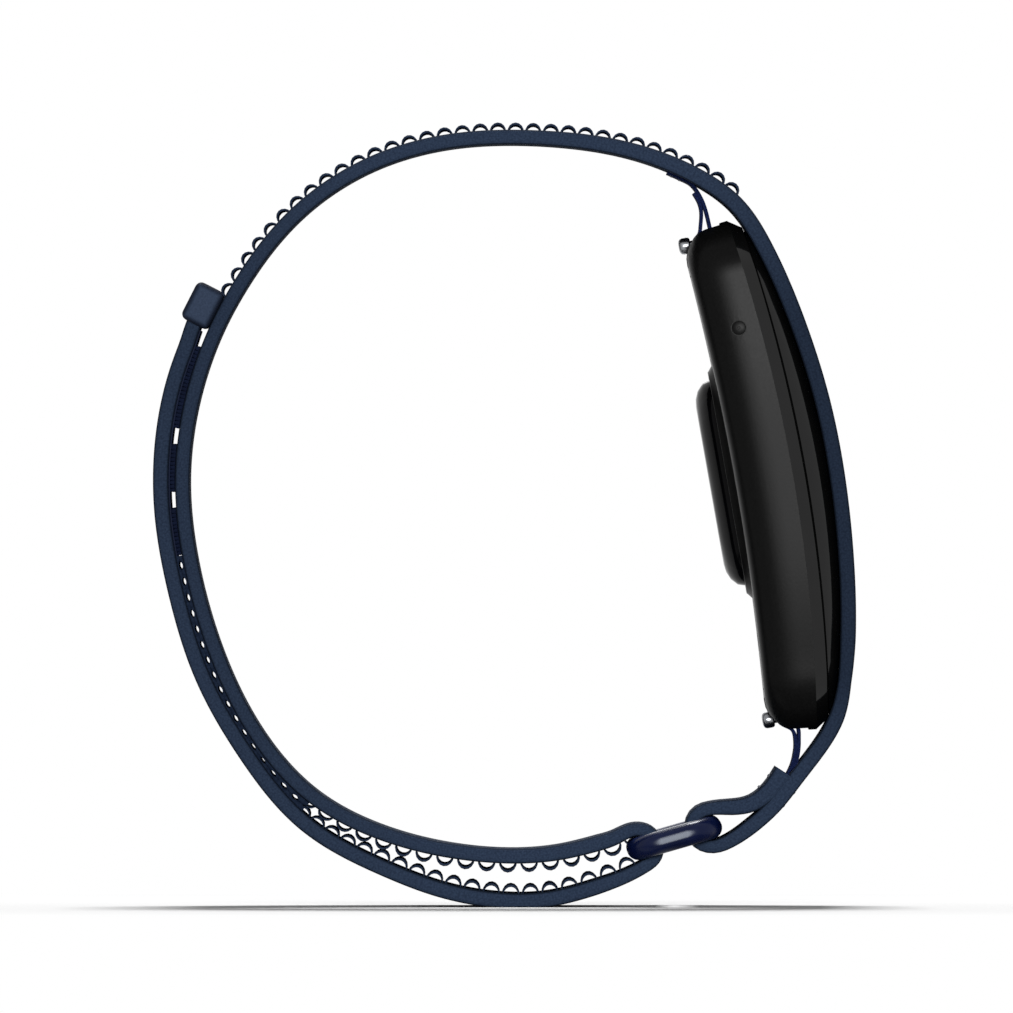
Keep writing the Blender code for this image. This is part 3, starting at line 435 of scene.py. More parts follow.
outer_layer = strap_stretch("strap_outer_layer", bend_end, tail_end)
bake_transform(outer_layer)
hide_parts("strap_return", "strap_tail")

# The stitching: two rows of bonded navy thread through the sewn end, the lower ribbon between and
# the strap, so that they show on the inside of the loop and again on the outside of the strap.
STITCH_PITCH = 1.9
STITCH_ROWS = (1.1, 2.6)
STITCH_SIZE = (0.15, 0.72, 0.05)
SEAM_WIDTH = STRAP_WIDTH - 2


def mottled(name, dark, light, grain, detail=2.0, spread=0.2, rough=None, raised=None, **values):
    """A material with a fine mottle between two tones, which may also vary its roughness and raise its face."""
    made, tree, shader = new_material(name, **values)
    place = add_node(tree, "TexCoord").outputs["Object"]
    mottle = add_node(tree, "TexNoise", {"Vector": place, "Scale": grain, "Detail": detail}).outputs["Fac"]
    tone = tones(tree, mottle, (0.5 - spread, colour(*dark)), (0.5 + spread, colour(*light)))
    tree.links.new(tone, shader.inputs["Base Color"])
    if rough:
        tree.links.new(ranged(tree, mottle, onto=rough), shader.inputs["Roughness"])
    if raised:
        bump = add_node(tree, "Bump", {"Strength": raised[0], "Distance": raised[1], "Height": mottle})
        tree.links.new(bump.outputs[0], shader.inputs["Normal"])
    return made


THREAD_FINISH = {"Roughness": 0.7, "Specular_IOR_Level": 0.15}
sewing_thread = mottled("sewing_thread", (26, 34, 52), (42, 52, 74), 5000.0, **THREAD_FINISH)


def add_shape(whole, part):
    """Moves all of one shape into another."""
    mesh = as_mesh("part", part)
    whole.from_mesh(mesh)
    bpy.data.meshes.remove(mesh)


def stitch_row(shape, route, length, level, width):
    """Adds a row of stitches across a cloth, each a short rounded length of thread lying in its face."""
    row = bmesh.new()
    for across in np.arange(-width / 2 + STITCH_PITCH / 2, width / 2, STITCH_PITCH):
        spot = Matrix.Translation((0, across, level)) @ Matrix.Diagonal((*STITCH_SIZE, 1))
        bmesh.ops.create_uvsphere(row, u_segments=8, v_segments=6, radius=1, matrix=spot)
    lay(row, route, length)
    add_shape(shape, row)


seam = bmesh.new()
seam_outside = strap_route.near(RIGHT_SIDE[3])
for place in STITCH_ROWS:
    stitch_row(seam, strap_route, place, SEWN_END_THICKNESS / 2, SEAM_WIDTH)
    stitch_row(seam, strap_route, seam_outside - place, STRAP_THICKNESS / 2, SEAM_WIDTH)
stitches = piece("sewn_end_stitches", seam, sewing_thread, 60)
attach(stitches, "band")

# The loop pile: rows of single yarn loops knitted into the strap's face, open from the side. They
# stand free over the top and along the bottom. Each is thicker at its crown than at its feet.
LOOP_YARN = 0.105
LOOP_FOOT = 0.6
LOOP_SINK = 0.2
LOOP_STRAY = 0.15
LOOP_LEAN = 0.08
LOOP_GROWTH = 0.015
LOOP_SHIFT = 0.012
LOOP_SHARE = 0.5
TOP_LOOP = (0.78, 0.66)
INNER_LOOP = (0.84, 0.8)
OUTER_LOOP = (0.86, 0.8)
LOOPS_ACROSS = 22
LOOP_SPACING = 0.95
TOP_LOOPS = 33
TOP_PITCH = 1.594
TOP_FIRST = 1.26
TOP_EASE = 0.52
INNER_LOOPS = 18
INNER_PITCH = 1.88
INNER_FIRST = -6.83
OUTER_LOOPS = 19
OUTER_PITCH = 1.93
OUTER_CLOSING = 0.0075
OUTER_FIRST = -3.48
FACE_STEP = 0.05
FACING_REACH = 8
FAR_OFF = 100


def yarn_loop(half_width, height):
    """One open loop of yarn standing in XZ, a small ring of points spun half a turn and swollen at its crown."""
    loop = bmesh.new()
    foot = Matrix.Translation((-half_width, 0, 0))
    ring = bmesh.ops.create_circle(loop, segments=5, radius=LOOP_YARN, matrix=foot)["verts"]
    edges = list({e for v in ring for e in v.link_edges})
    bmesh.ops.spin(loop, geom=ring + edges, cent=(0, 0, 0), axis=(0, 1, 0), angle=math.pi, steps=8)
    bmesh.ops.holes_fill(loop, edges=loop.edges[:])
    for vert in loop.verts:
        outwards = Vector((vert.co.x, 0, vert.co.z)).normalized()
        middle = outwards * half_width
        vert.co = middle + (vert.co - middle) * (LOOP_FOOT + (1 - LOOP_FOOT) * max(0, outwards.z) ** 2)
        vert.co.z *= height / half_width
    return as_mesh("yarn_loop", loop)


def face_line(first, last):
    """Points along the strap's right-hand face."""
    lengths = np.arange(first, last, FACE_STEP)
    return np.array([strap_route.beside(length, STRAP_THICKNESS / 2) for length in lengths])


inner_face = face_line(strap_route.near(LEFT_SIDE[0]), strap_route.near(BOTTOM[3]))
outer_face = face_line(strap_route.near(RETURN[0]), peel_line)


def facing_gap(length, facing):
    """The room between the strap's right-hand face and one that faces it, straight across from a length."""
    place, course = strap_route.at(length)
    away = facing - place
    too_far = np.linalg.norm(away, axis=1) > FACING_REACH
    opposite = np.argmin(abs(away @ course) + too_far * FAR_OFF)
    return away[opposite] @ (course[1], -course[0]) - STRAP_THICKNESS / 2


def loop_field(name, middles, half_width, height, seed, facing=None):
    """Rows of loops across the strap's right-hand face, one at each length, squeezed where room is short."""
    field = bmesh.new()
    chance = random.Random(seed)
    loop = yarn_loop(half_width - LOOP_YARN, height - LOOP_YARN + LOOP_SINK)
    for middle in middles:
        row = bmesh.new()
        room = height if facing is None else min(height, LOOP_SHARE * facing_gap(middle, facing))
        squeeze = Matrix.Diagonal((1, 1, (room + LOOP_SINK) / (height + LOOP_SINK), 1))
        for place in range(LOOPS_ACROSS):
            start = len(row.verts)
            row.from_mesh(loop)
            row.verts.ensure_lookup_table()
            across = (place - (LOOPS_ACROSS - 1) / 2) * LOOP_SPACING + chance.uniform(-LOOP_STRAY, LOOP_STRAY)
            lean = Matrix.Rotation(chance.uniform(-LOOP_LEAN, LOOP_LEAN), 4, "X")
            grow = Matrix.Scale(chance.uniform(1 - LOOP_GROWTH, 1 + LOOP_GROWTH), 4)
            along = chance.uniform(-LOOP_SHIFT, LOOP_SHIFT)
            set_down = Matrix.Translation((along, across, STRAP_THICKNESS / 2 - LOOP_SINK))
            bmesh.ops.transform(row, matrix=set_down @ lean @ grow @ squeeze, verts=row.verts[start:])
        lay(row, strap_route, middle)
        add_shape(field, row)
    bpy.data.meshes.remove(loop)
    made = piece(name, field, navy_loops, 80)
    return made


YARN_FINISH = {"detail": 3.0, "spread": 0.15, "raised": (0.4, 0.00003), "Roughness": 0.95, "Specular_IOR_Level": 0.04}
navy_loops = mottled("loop_yarn", (27, 36, 54), (42, 54, 75), 3500.0, **YARN_FINISH)
top_start = strap_route.near(TOP[0]) + TOP_FIRST
top_parts = [row / (TOP_LOOPS - 1) for row in range(TOP_LOOPS)]
top_length = TOP_PITCH * (TOP_LOOPS - 1)
top_middles = [top_start + top_length * part - 4 * TOP_EASE * part * (1 - part) for part in top_parts]
top_loops = loop_field("loops_over_top", top_middles, *TOP_LOOP, seed=3)
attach(top_loops, "band")
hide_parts("pile_top")

inner_start = strap_route.near(BOTTOM[0]) + INNER_FIRST
inner_middles = [inner_start + INNER_PITCH * row for row in range(INNER_LOOPS)]
inner_loops = loop_field("loops_inner_layer", inner_middles, *INNER_LOOP, seed=5, facing=outer_face)
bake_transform(inner_loops)
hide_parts("pile_inner")

outer_start = strap_route.near(RETURN[0]) + OUTER_FIRST
outer_middles = [outer_start + row * (OUTER_PITCH - OUTER_CLOSING * row) for row in range(OUTER_LOOPS)]
outer_loops = loop_field("loops_outer_layer", outer_middles, *OUTER_LOOP, seed=7, facing=inner_face)
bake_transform(outer_loops)
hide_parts("pile_outer")

# The pressed pile: where the outer layer lies on the inner one, the loops of both are squeezed flat
# against each other, and only a small lens of light is left under each loop, closing up the side.
PRESSED_PITCH = 1.52
PRESSED_FROM = 1.0
LENS_LENGTH = 0.85
LENS_HEIGHTS = [(0, 0.42), (6, 0.22), (10, 0.34), (28, 0.34)]
LENS_SHIFT = 0.65
PRESSED_STEP = 0.07
PRESSED_PAST = 0.05
PRESSED_INSET = 0.4
PRESSED_EDGE = 0.1

# Painted shade: the pressed pile's yarn is a darker copy of the loop yarn, for the shade between the two layers.
shaded_pressed_yarn = mottled("shaded_pressed_yarn", (17, 25, 41), (29, 39, 57), 3500.0, **YARN_FINISH)
pressed_start = strap_route.near(RETURN[5]) + PRESSED_FROM
pressed_length = peel_line + PRESSED_PAST - pressed_start


def lens(along):
    """Half the height of the opening at a place along the pressed pile."""
    from_middle = ((along - LENS_SHIFT) % PRESSED_PITCH - PRESSED_PITCH / 2) / (LENS_LENGTH / 2)
    height = np.interp(along, *zip(*LENS_HEIGHTS))
    return height / 2 * max(0, 1 - from_middle**2)


for name, side in (("outer", 1), ("inner", -1)):
    half_pile = cloth_bar(pressed_length, STRAP_WIDTH - PRESSED_INSET, 2, PRESSED_EDGE, PRESSED_STEP)
    for vert in half_pile.verts:
        room = facing_gap(pressed_start + vert.co.x, inner_face)
        part_way = (1 + side * vert.co.z) / 2
        rise = part_way * (room / 2 - lens(vert.co.x))
        vert.co.z = STRAP_THICKNESS / 2 + (rise if side > 0 else room - rise)
    lay(half_pile, strap_route, pressed_start)
    pressed = piece(f"loops_pressed_{name}", half_pile, shaded_pressed_yarn, 60)
    if side > 0:
        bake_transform(pressed)
    else:
        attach(pressed, "band")

# The hook fields: three strips of moulded nylon hook tape sewn to the tail, with small gaps between
# them. Staggered rows of short hooks stand on a thin base and grip the layer under them.
HOOK_LENGTHS = (4.55, 4.6, 8.0)
HOOK_SPACE = 1.4
HOOK_FIRST = 0.05
HOOK_WIDTH = 21
HOOK_BASE = 0.16
HOOK_EDGE = 0.05
HOOK_PITCH = 0.36
HOOK_ROWS = 26
HOOK_STAGGER = 0.37
HOOK_MARGINS = (0.2, 0.15)
HOOK_SIDE = 0.4
HOOK_SINK = 0.02
HOOK_FOOT = 0.15
HOOK_HEAD = 0.2

HOOK_FINISH = {"raised": (0.3, 0.00003), "Roughness": 0.6, "Specular_IOR_Level": 0.08}
hook_nylon = mottled("hook_nylon", (10, 17, 37), (15, 24, 47), 900.0, **HOOK_FINISH)
hook_start = peel_line + HOOK_FIRST


def peg(shape, foot, head, height, spot, sides=32):
    """Adds a round peg to a shape, straight or tapered."""
    ends = {"radius1": foot, "radius2": head, "depth": height}
    bmesh.ops.create_cone(shape, cap_ends=True, segments=sides, **ends, matrix=spot)


for number, hook_length in enumerate(HOOK_LENGTHS, start=1):
    tape = cloth_bar(hook_length + HOOK_SPACE, HOOK_WIDTH, HOOK_BASE, HOOK_EDGE)
    bmesh.ops.translate(tape, vec=(0, 0, (STRAP_THICKNESS + HOOK_BASE) / 2), verts=tape.verts)
    for row in range(HOOK_ROWS):
        across = (row - (HOOK_ROWS - 1) / 2) * (HOOK_WIDTH - 2 * HOOK_SIDE) / (HOOK_ROWS - 1)
        first = HOOK_MARGINS[0] + (row * HOOK_STAGGER % 1) * HOOK_PITCH
        for along in np.arange(first, hook_length - HOOK_MARGINS[1], HOOK_PITCH):
            height = facing_gap(hook_start + along, inner_face) - HOOK_BASE - HOOK_SINK
            spot = Matrix.Translation((along, across, STRAP_THICKNESS / 2 + HOOK_BASE + height / 2 - HOOK_SINK))
            peg(tape, HOOK_FOOT, HOOK_HEAD, height, spot, 6)
    lay(tape, strap_route, hook_start)
    hooks = piece(f"hook_field_{number}", tape, hook_nylon)
    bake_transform(hooks)
    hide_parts(f"hook_patch_{number}")
    hook_start += hook_length + HOOK_SPACE

# The end cap: a satin nylon block moulded over the end of the tail, its corners well rounded, so
# that the tail can be gripped and can't slip back through the ring.
CAP_SIZE = (2.75, 23.6, 3.75)
CAP_CENTRE = (-27.48, 0, 54.7)
CAP_TILT = math.radians(27)
CAP_ROUND = 0.6
CAP_SHADE_RIM = (0.6, 0.05)

CAP_FINISH = {"raised": (0.35, 0.00002), "Roughness": 0.7, "Specular_IOR_Level": 0.08}
cap_nylon = mottled("cap_nylon", (41, 52, 71), (50, 62, 83), 5000.0, **CAP_FINISH)
tree = cap_nylon.node_tree
shader = tree.nodes["Principled BSDF"]
cap_tone = shader.inputs["Base Color"].links[0].from_socket
place = add_node(tree, "TexCoord").outputs["Object"]
cap_spot = [c * MM for c in CAP_CENTRE]
turned = {"Vector": place, "Location": cap_spot, "Rotation": (0, CAP_TILT, 0), "Scale": (MM, MM, MM)}
from_centre = add_node(tree, "Mapping", turned, vector_type="TEXTURE").outputs[0]
sides = add_node(tree, "SeparateXYZ", {"Vector": from_centre}).outputs
# Painted shade: the cap's colour darkens to near black towards its rounded rims along X and Z.
rim_shades = []
for side, half in (("X", CAP_SIZE[0] / 2), ("Z", CAP_SIZE[2] / 2)):
    out = maths(tree, "ABSOLUTE", sides[side])
    rim_shades.append(ranged(tree, out, (half - CAP_SHADE_RIM[0], half - CAP_SHADE_RIM[1]), kind="SMOOTHSTEP"))
painted_rim_shade = add_node(tree, "Mix", data_type="RGBA")
tree.links.new(maths(tree, "MAXIMUM", *rim_shades), painted_rim_shade.inputs[0])
tree.links.new(cap_tone, painted_rim_shade.inputs[6])
painted_rim_shade.inputs[7].default_value = colour(12, 18, 32)
tree.links.new(painted_rim_shade.outputs[2], shader.inputs["Base Color"])

cap_shape = bmesh.new()
block(cap_shape, CAP_SIZE)
round_edges(cap_shape, cap_shape.edges[:], CAP_ROUND, 5)
cap_place = Matrix.Scale(MM, 4) @ Matrix.Translation(CAP_CENTRE) @ Matrix.Rotation(CAP_TILT, 4, "Y")
cap = piece("tail_cap", cap_shape, cap_nylon, place=cap_place)
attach(cap, "tail")
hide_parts("end_cap")

# The ring: steel wire 2.1 mm thick with a narrow flat rolled along its sides, bent to a rounded
# rectangle, welded shut and lacquered dark blue with a soft gloss. The strap is sewn round its right
# bar and runs back round its left one.
RING_HALF_WIDTH = 12.6
RING_CORNER = 2.2
RING_FLAT = 0.955
FLAT_LEAN = math.radians(3.5)

LACQUER_FINISH = {"rough": (0.24, 0.3), "Specular_IOR_Level": 0.18, "Specular_Tint": (0.85, 0.92, 1, 1)}
blue_lacquer = mottled("blue_lacquer", (4, 12, 44), (8, 18, 56), 400.0, 3.0, **LACQUER_FINISH)

ring_span = math.dist(LEFT_BAR, RIGHT_BAR)
ring_wire = bmesh.new()
sides = (ring_span - 2 * RING_CORNER, 2 * (RING_HALF_WIDTH - RING_CORNER))
wire_start = Matrix.Translation((0, -RING_HALF_WIDTH, 0)) @ Matrix.Rotation(math.pi / 2, 4, "Y")
front = bmesh.ops.create_circle(ring_wire, segments=36, radius=RING_WIRE / 2, matrix=wire_start)["verts"]
heading = Vector((1, 0, 0))
spot = Vector((0, -RING_HALF_WIDTH, 0))
bmesh.ops.translate(ring_wire, vec=(-sides[0] / 2, 0, 0), verts=front)
spot.x -= sides[0] / 2
edge_loop = list({e for v in front for e in v.link_edges})
for side in (0, 1, 0, 1):
    pulled = bmesh.ops.extrude_edge_only(ring_wire, edges=edge_loop)["geom"]
    front = [g for g in pulled if isinstance(g, bmesh.types.BMVert)]
    bmesh.ops.translate(ring_wire, vec=heading * sides[side], verts=front)
    spot += heading * sides[side]
    edge_loop = [g for g in pulled if isinstance(g, bmesh.types.BMEdge) and set(g.verts) <= set(front)]
    inward = Vector((-heading.y, heading.x, 0))
    centre = spot + inward * RING_CORNER
    turned = bmesh.ops.spin(
        ring_wire, geom=front + edge_loop, cent=centre, axis=(0, 0, 1), angle=math.pi / 2, steps=8
    )["geom_last"]
    edge_loop = [g for g in turned if isinstance(g, bmesh.types.BMEdge)]
    spot = centre + heading * RING_CORNER
    heading = inward
bmesh.ops.remove_doubles(ring_wire, verts=ring_wire.verts, dist=0.01)
for vert in ring_wire.verts:
    out = RING_HALF_WIDTH + (RING_FLAT - vert.co.z * math.sin(FLAT_LEAN)) / math.cos(FLAT_LEAN)
    vert.co.y = max(-out, min(out, vert.co.y))
ring_tilt = math.atan2(RIGHT_BAR[1] - LEFT_BAR[1], RIGHT_BAR[0] - LEFT_BAR[0])
ring_middle = ((LEFT_BAR[0] + RIGHT_BAR[0]) / 2, 0, (LEFT_BAR[1] + RIGHT_BAR[1]) / 2)
ring_place = Matrix.Scale(MM, 4) @ Matrix.Translation(ring_middle) @ Matrix.Rotation(-ring_tilt, 4, "Y")
ring = piece("wire_ring", ring_wire, blue_lacquer, 60, ring_place)
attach(ring, "ring")
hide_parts("ring")

# The pod's housing: a box of glass-filled nylon with a finely spark-eroded matte skin and a rounded
# back edge, bowed to the wrist. A notch at each end makes the lugs for a spring bar, and a small
# seat takes the vent.
POD_CENTRE = (24.89, 0, 39.37)
POD_TILT = math.radians(10)
POD_HALF_LENGTH = 23.5
POD_HALF_WIDTH = 12.0
POD_CORNER = 4.8
POD_SHARP = 35
BACK_FACE = -4.0
BACK_BOW = 250
BACK_EDGE = 2.3
BACK_STEPS = [(0, 0.75), (22.5, 0.75), (45, 0.7), (67.5, 0.4), (90, 0.25)]
WALL_TOP = 1.25
WALL_BOW = 150
SIDE_FALL = [(0, 0), (6, 0.01), (10, 0.06), (14, 0.2), (17, 0.37), (19, 0.45), (24, 0.47)]
SIDE_CROWN = 14
CROWN_LEVELS = (-2, 0.2)
WALL_SLICES = (-1.2, -0.6, 0)
LUG_GAP = 16.2
NOTCH_SIZE = 6
NOTCH_FLOOR = 19.9
NOTCH_ROOF = -1.3
RECESS = (19.2, 9.1, 3.0)
RECESS_DEPTH = 0.95
TOOL_PAST = 2
VENT_PLACE = (-1.28, 13.7)
VENT_LEVEL = -0.83
VENT_SEAT = 0.72
VENT_SEAT_DEPTH = 0.06
pod_place = Matrix.Scale(MM, 4) @ Matrix.Translation(POD_CENTRE) @ Matrix.Rotation(-POD_TILT, 4, "Y")


def slab(half_length, half_width, corner, low, high, steps=10):
    """A plate lying across X between two levels, with rounded corners. Z runs along the pod."""
    shape = bmesh.new()
    size = (high - low, 2 * half_width, 2 * half_length)
    block(shape, size, Matrix.Translation(((low + high) / 2, 0, 0)))
    round_edges(shape, edges_along(shape, (high - low) / 2), corner, steps)
    return shape


def round_rim(shape, level, radius, steps=6):
    """Rounds a slab's edge round its face at a level."""
    rim = [e for e in shape.edges if all(abs(v.co.x - level) < 1e-5 for v in e.verts)]
    round_edges(shape, rim, radius, steps)


def slice_at(shape, normal, places):
    """Cuts a shape right through at places along a normal, so that it can be bent there."""
    for place in places:
        everything = shape.verts[:] + shape.edges[:] + shape.faces[:]
        bmesh.ops.bisect_plane(shape, geom=everything, plane_co=Vector(normal) * place, plane_no=normal)


def slice_across(shape, half_length, count=24):
    """Cuts a slab across its length at even places."""
    slice_at(shape, (0, 0, 1), np.linspace(-half_length, half_length, count + 2)[1:-1])


def draw_in(shape, half_length, half_width, steps):
    """Draws a slab in level by level, by an inset all round and by more at its ends."""
    levels, insets, draws = zip(*steps)
    for vert in shape.verts:
        inset = np.interp(vert.co.x, levels, insets)
        end_draw = np.interp(vert.co.x, levels, draws)
        vert.co.y *= (half_width - inset) / half_width
        vert.co.z *= (half_length - inset - end_draw) / half_length


def bow(shape, low, low_radius, high, high_radius):
    """Bends a slab's faces back towards its ends, by one radius at its low level and another at its high one."""
    for vert in shape.verts:
        part_way = min(1, max(0, (vert.co.x - low) / (high - low)))
        curve = (1 - part_way) / low_radius + part_way / high_radius
        vert.co.x -= vert.co.z**2 * curve / 2


def side_fall(level, along):
    """How far the pod's long sides fall in towards its back and towards its ends."""
    crown = np.clip(level, *CROWN_LEVELS) - CROWN_LEVELS[1]
    return crown**2 / (2 * SIDE_CROWN) + np.interp(abs(along), *zip(*SIDE_FALL))


def swell(shape):
    """Bows a slab's long sides in towards its ends, and a little towards its back."""
    for vert in shape.verts:
        vert.co.y *= 1 - side_fall(vert.co.x, vert.co.z) / POD_HALF_WIDTH


def carve(made, cutter):
    """Cuts a shape out of a piece for good."""
    bmesh.ops.recalc_face_normals(cutter, faces=cutter.faces)
    tool_mesh = as_mesh("tool", cutter)
    tool = bpy.data.objects.new("tool", tool_mesh)
    scene.collection.objects.link(tool)
    step = made.modifiers.new("carve", "BOOLEAN")
    step.operation = "DIFFERENCE"
    step.solver = "EXACT"
    step.object = tool
    bpy.context.view_layer.update()
    carved = bpy.data.meshes.new_from_object(made.evaluated_get(bpy.context.evaluated_depsgraph_get()))
    made.modifiers.remove(step)
    old = made.data
    made.data = carved
    carved.name = made.name
    carved.shade_smooth()
    carved.set_sharp_from_angle(angle=math.radians(POD_SHARP))
    bpy.data.meshes.remove(old)
    bpy.data.objects.remove(tool)
    bpy.data.meshes.remove(tool_mesh)


WALL_FINISH = {"rough": (0.288, 0.352), "raised": (0.3, 0.00001), "Specular_IOR_Level": 0.05}
matte_wall = mottled("matte_wall", (9, 9, 9), (14, 14, 14), 4500.0, **WALL_FINISH)
wall = slab(POD_HALF_LENGTH, POD_HALF_WIDTH, POD_CORNER, BACK_FACE, WALL_TOP)
round_rim(wall, BACK_FACE, BACK_EDGE)
slice_across(wall, POD_HALF_LENGTH)
slice_at(wall, (1, 0, 0), WALL_SLICES)
edge_levels = [BACK_FACE + BACK_EDGE * (1 - math.cos(math.radians(angle))) for angle, draw in BACK_STEPS]
wall_steps = [(level, 0, draw) for level, (angle, draw) in zip(edge_levels, BACK_STEPS)]
draw_in(wall, POD_HALF_LENGTH, POD_HALF_WIDTH, wall_steps + [(WALL_TOP, 0, 0)])
swell(wall)
bow(wall, BACK_EDGE + BACK_FACE, BACK_BOW, WALL_TOP, WALL_BOW)
housing = piece("pod_wall", wall, matte_wall, POD_SHARP, pod_place)
tools = slab(*RECESS, BACK_FACE - TOOL_PAST, BACK_FACE + RECESS_DEPTH)
for end in (1, -1):
    notch_spot = Matrix.Translation((NOTCH_ROOF - NOTCH_SIZE / 2, 0, end * (NOTCH_FLOOR + NOTCH_SIZE / 2)))
    block(tools, (NOTCH_SIZE, LUG_GAP, NOTCH_SIZE), notch_spot)
vent_face = POD_HALF_WIDTH - side_fall(VENT_LEVEL, VENT_PLACE[1])
slope_back = side_fall(VENT_LEVEL + 0.5, VENT_PLACE[1]) - side_fall(VENT_LEVEL - 0.5, VENT_PLACE[1])
slope_along = side_fall(VENT_LEVEL, VENT_PLACE[1] + 0.5) - side_fall(VENT_LEVEL, VENT_PLACE[1] - 0.5)
vent_turn = Matrix.Rotation(math.atan(slope_back), 4, "Z") @ Matrix.Rotation(-math.atan(slope_along), 4, "X")
vent_spot = Matrix.Translation((VENT_PLACE[0], -vent_face, VENT_PLACE[1])) @ vent_turn
seat_spot = vent_spot @ Matrix.Rotation(math.pi / 2, 4, "X")
peg(tools, VENT_SEAT, VENT_SEAT, 2 * VENT_SEAT_DEPTH, seat_spot, 40)
bmesh.ops.transform(tools, matrix=pod_place, verts=tools.verts)
carve(housing, tools)
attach(housing, "pod")
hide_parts("pod_housing")

# The gloss shells: a polished band that sits on the wall, and over it the outer cover, a shallow
# dome of the same black polycarbonate. Both are bowed along the pod, and the strap lies over them.
RIDGE = 2.4
CREST = 4.57
CREST_BOW = 73.3
BAND_FOOT = (23.45, 11.95, 4.75)
BAND_TOP = RIDGE - 0.06
BAND_STEPS = [(WALL_TOP, 0, 0), (BAND_TOP, 0.4, 0.3)]
COVER_FOOT = (22.6, 11.5, 4.5)
COVER_BASE = RIDGE - 0.3
COVER_STEPS = [(COVER_BASE, 0.1, 0), (RIDGE + 0.05, 0.4, 0), (RIDGE + 0.12, 0.05, 0), (3.5, 0.4, 0.2)]
COVER_STEPS += [(4.1, 1.2, 0.1), (4.45, 2.5, -0.4), (CREST, 4.1, -0.8)]
COVER_SHARP = 50
SHELL_ROUND = 0.15

GLOSS_FINISH = {"rough": (0.108, 0.132), "raised": (0.3, 0.000003)}
gloss_black = mottled("gloss_black", (8, 8, 8), (12, 12, 12), 300.0, Specular_IOR_Level=0.28, **GLOSS_FINISH)
band_shape = slab(*BAND_FOOT, WALL_TOP, BAND_TOP)
draw_in(band_shape, *BAND_FOOT[:2], BAND_STEPS)
round_rim(band_shape, BAND_TOP, SHELL_ROUND, 4)
slice_across(band_shape, POD_HALF_LENGTH)
swell(band_shape)
bow(band_shape, WALL_TOP, WALL_BOW, RIDGE, WALL_BOW)
gloss_band = piece("gloss_band", band_shape, gloss_black, POD_SHARP, pod_place)
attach(gloss_band, "pod")
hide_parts("cover_band")

cover_shape = slab(*COVER_FOOT, COVER_BASE, CREST)
slice_at(cover_shape, (1, 0, 0), [step[0] for step in COVER_STEPS[1:-1]])
slice_across(cover_shape, POD_HALF_LENGTH)
draw_in(cover_shape, *COVER_FOOT[:2], COVER_STEPS)
swell(cover_shape)
bow(cover_shape, RIDGE, WALL_BOW, CREST, CREST_BOW)
cover = piece("gloss_cover", cover_shape, gloss_black, COVER_SHARP, pod_place)
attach(cover, "pod")
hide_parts("outer_cover")

# The sensor side: a back plate of the wall's plastic set in a recess, a low bezel, and on it the
# raised sensor window of dark polished resin. Four gold-plated charging pads sit in the plate.
BACK_PLATE = (19.1, 9.0, 2.9)
BACK_PLATE_THICKNESS = 0.85
BEZEL_FOOT = (11.1, 7.1, 5.0)
BEZEL_LIP_DRAW = 0.8
BEZEL_TOP = -4.7
BEZEL_ROUND = 0.12
WINDOW = (9.5, 5.5, 3.6)
WINDOW_TOP = -6.3
WINDOW_STEPS = [(WINDOW_TOP, 2.2), (-6.2, 1.5), (-5.9, 0.8), (-5.35, 0.2), (BEZEL_TOP, 0)]
WINDOW_SIDE_DRAW = 0.25
PAD_HEIGHT = -14.8
PAD_PLACES = (-4.05, -1.35, 1.35, 4.05)
PAD_RADIUS = 0.8
PAD_DEPTH = 0.26
PAD_SINK = 0.19
PAD_ROUND = 0.03
PAD_HOLE = 0.9
PAD_HOLE_DEPTH = 0.4

plate = slab(*BACK_PLATE, BACK_FACE, BACK_FACE + BACK_PLATE_THICKNESS)
round_rim(plate, BACK_FACE, SHELL_ROUND, 3)
slice_across(plate, BACK_PLATE[0])
bow(plate, BACK_FACE, BACK_BOW, BACK_FACE + 1, BACK_BOW)
back_plate = piece("back_plate", plate, matte_wall, POD_SHARP, pod_place)
pad_face = BACK_FACE - PAD_HEIGHT**2 / (2 * BACK_BOW)
pad_turn = Matrix.Rotation(math.pi / 2 - math.atan(PAD_HEIGHT / BACK_BOW), 4, "Y")
pad_holes = bmesh.new()
for across in PAD_PLACES:
    hole_spot = Matrix.Translation((pad_face, across, PAD_HEIGHT)) @ pad_turn
    peg(pad_holes, PAD_HOLE, PAD_HOLE, PAD_HOLE_DEPTH, hole_spot)
bmesh.ops.transform(pad_holes, matrix=pod_place, verts=pad_holes.verts)
carve(back_plate, pad_holes)
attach(back_plate, "pod")
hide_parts("back_cover")

bezel_shape = slab(*BEZEL_FOOT, BEZEL_TOP, BACK_FACE)
draw_in(bezel_shape, *BEZEL_FOOT[:2], [(BEZEL_TOP, BEZEL_LIP_DRAW, 0), (BACK_FACE, 0, 0)])
round_rim(bezel_shape, BEZEL_TOP, BEZEL_ROUND, 3)
bezel = piece("sensor_bezel_rim", bezel_shape, matte_wall, POD_SHARP, pod_place)
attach(bezel, "pod")
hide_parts("sensor_bezel")

dark_resin = mottled("dark_resin", (3, 3, 4), (5, 5, 6), 250.0, Specular_IOR_Level=0.05, **GLOSS_FINISH)
window_shape = slab(*WINDOW, WINDOW_TOP, BACK_FACE)
slice_at(window_shape, (1, 0, 0), [step[0] for step in WINDOW_STEPS[1:]])
slice_across(window_shape, WINDOW[0], 12)
draw_in(window_shape, *WINDOW[:2], [(level, inset, 0) for level, inset in WINDOW_STEPS])
for vert in window_shape.verts:
    vert.co.y *= 1 - WINDOW_SIDE_DRAW * max(0, (BEZEL_TOP - vert.co.x) / (BEZEL_TOP - WINDOW_TOP))
window = piece("sensor_glass", window_shape, dark_resin, COVER_SHARP, pod_place)
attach(window, "pod")
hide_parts("sensor_window")

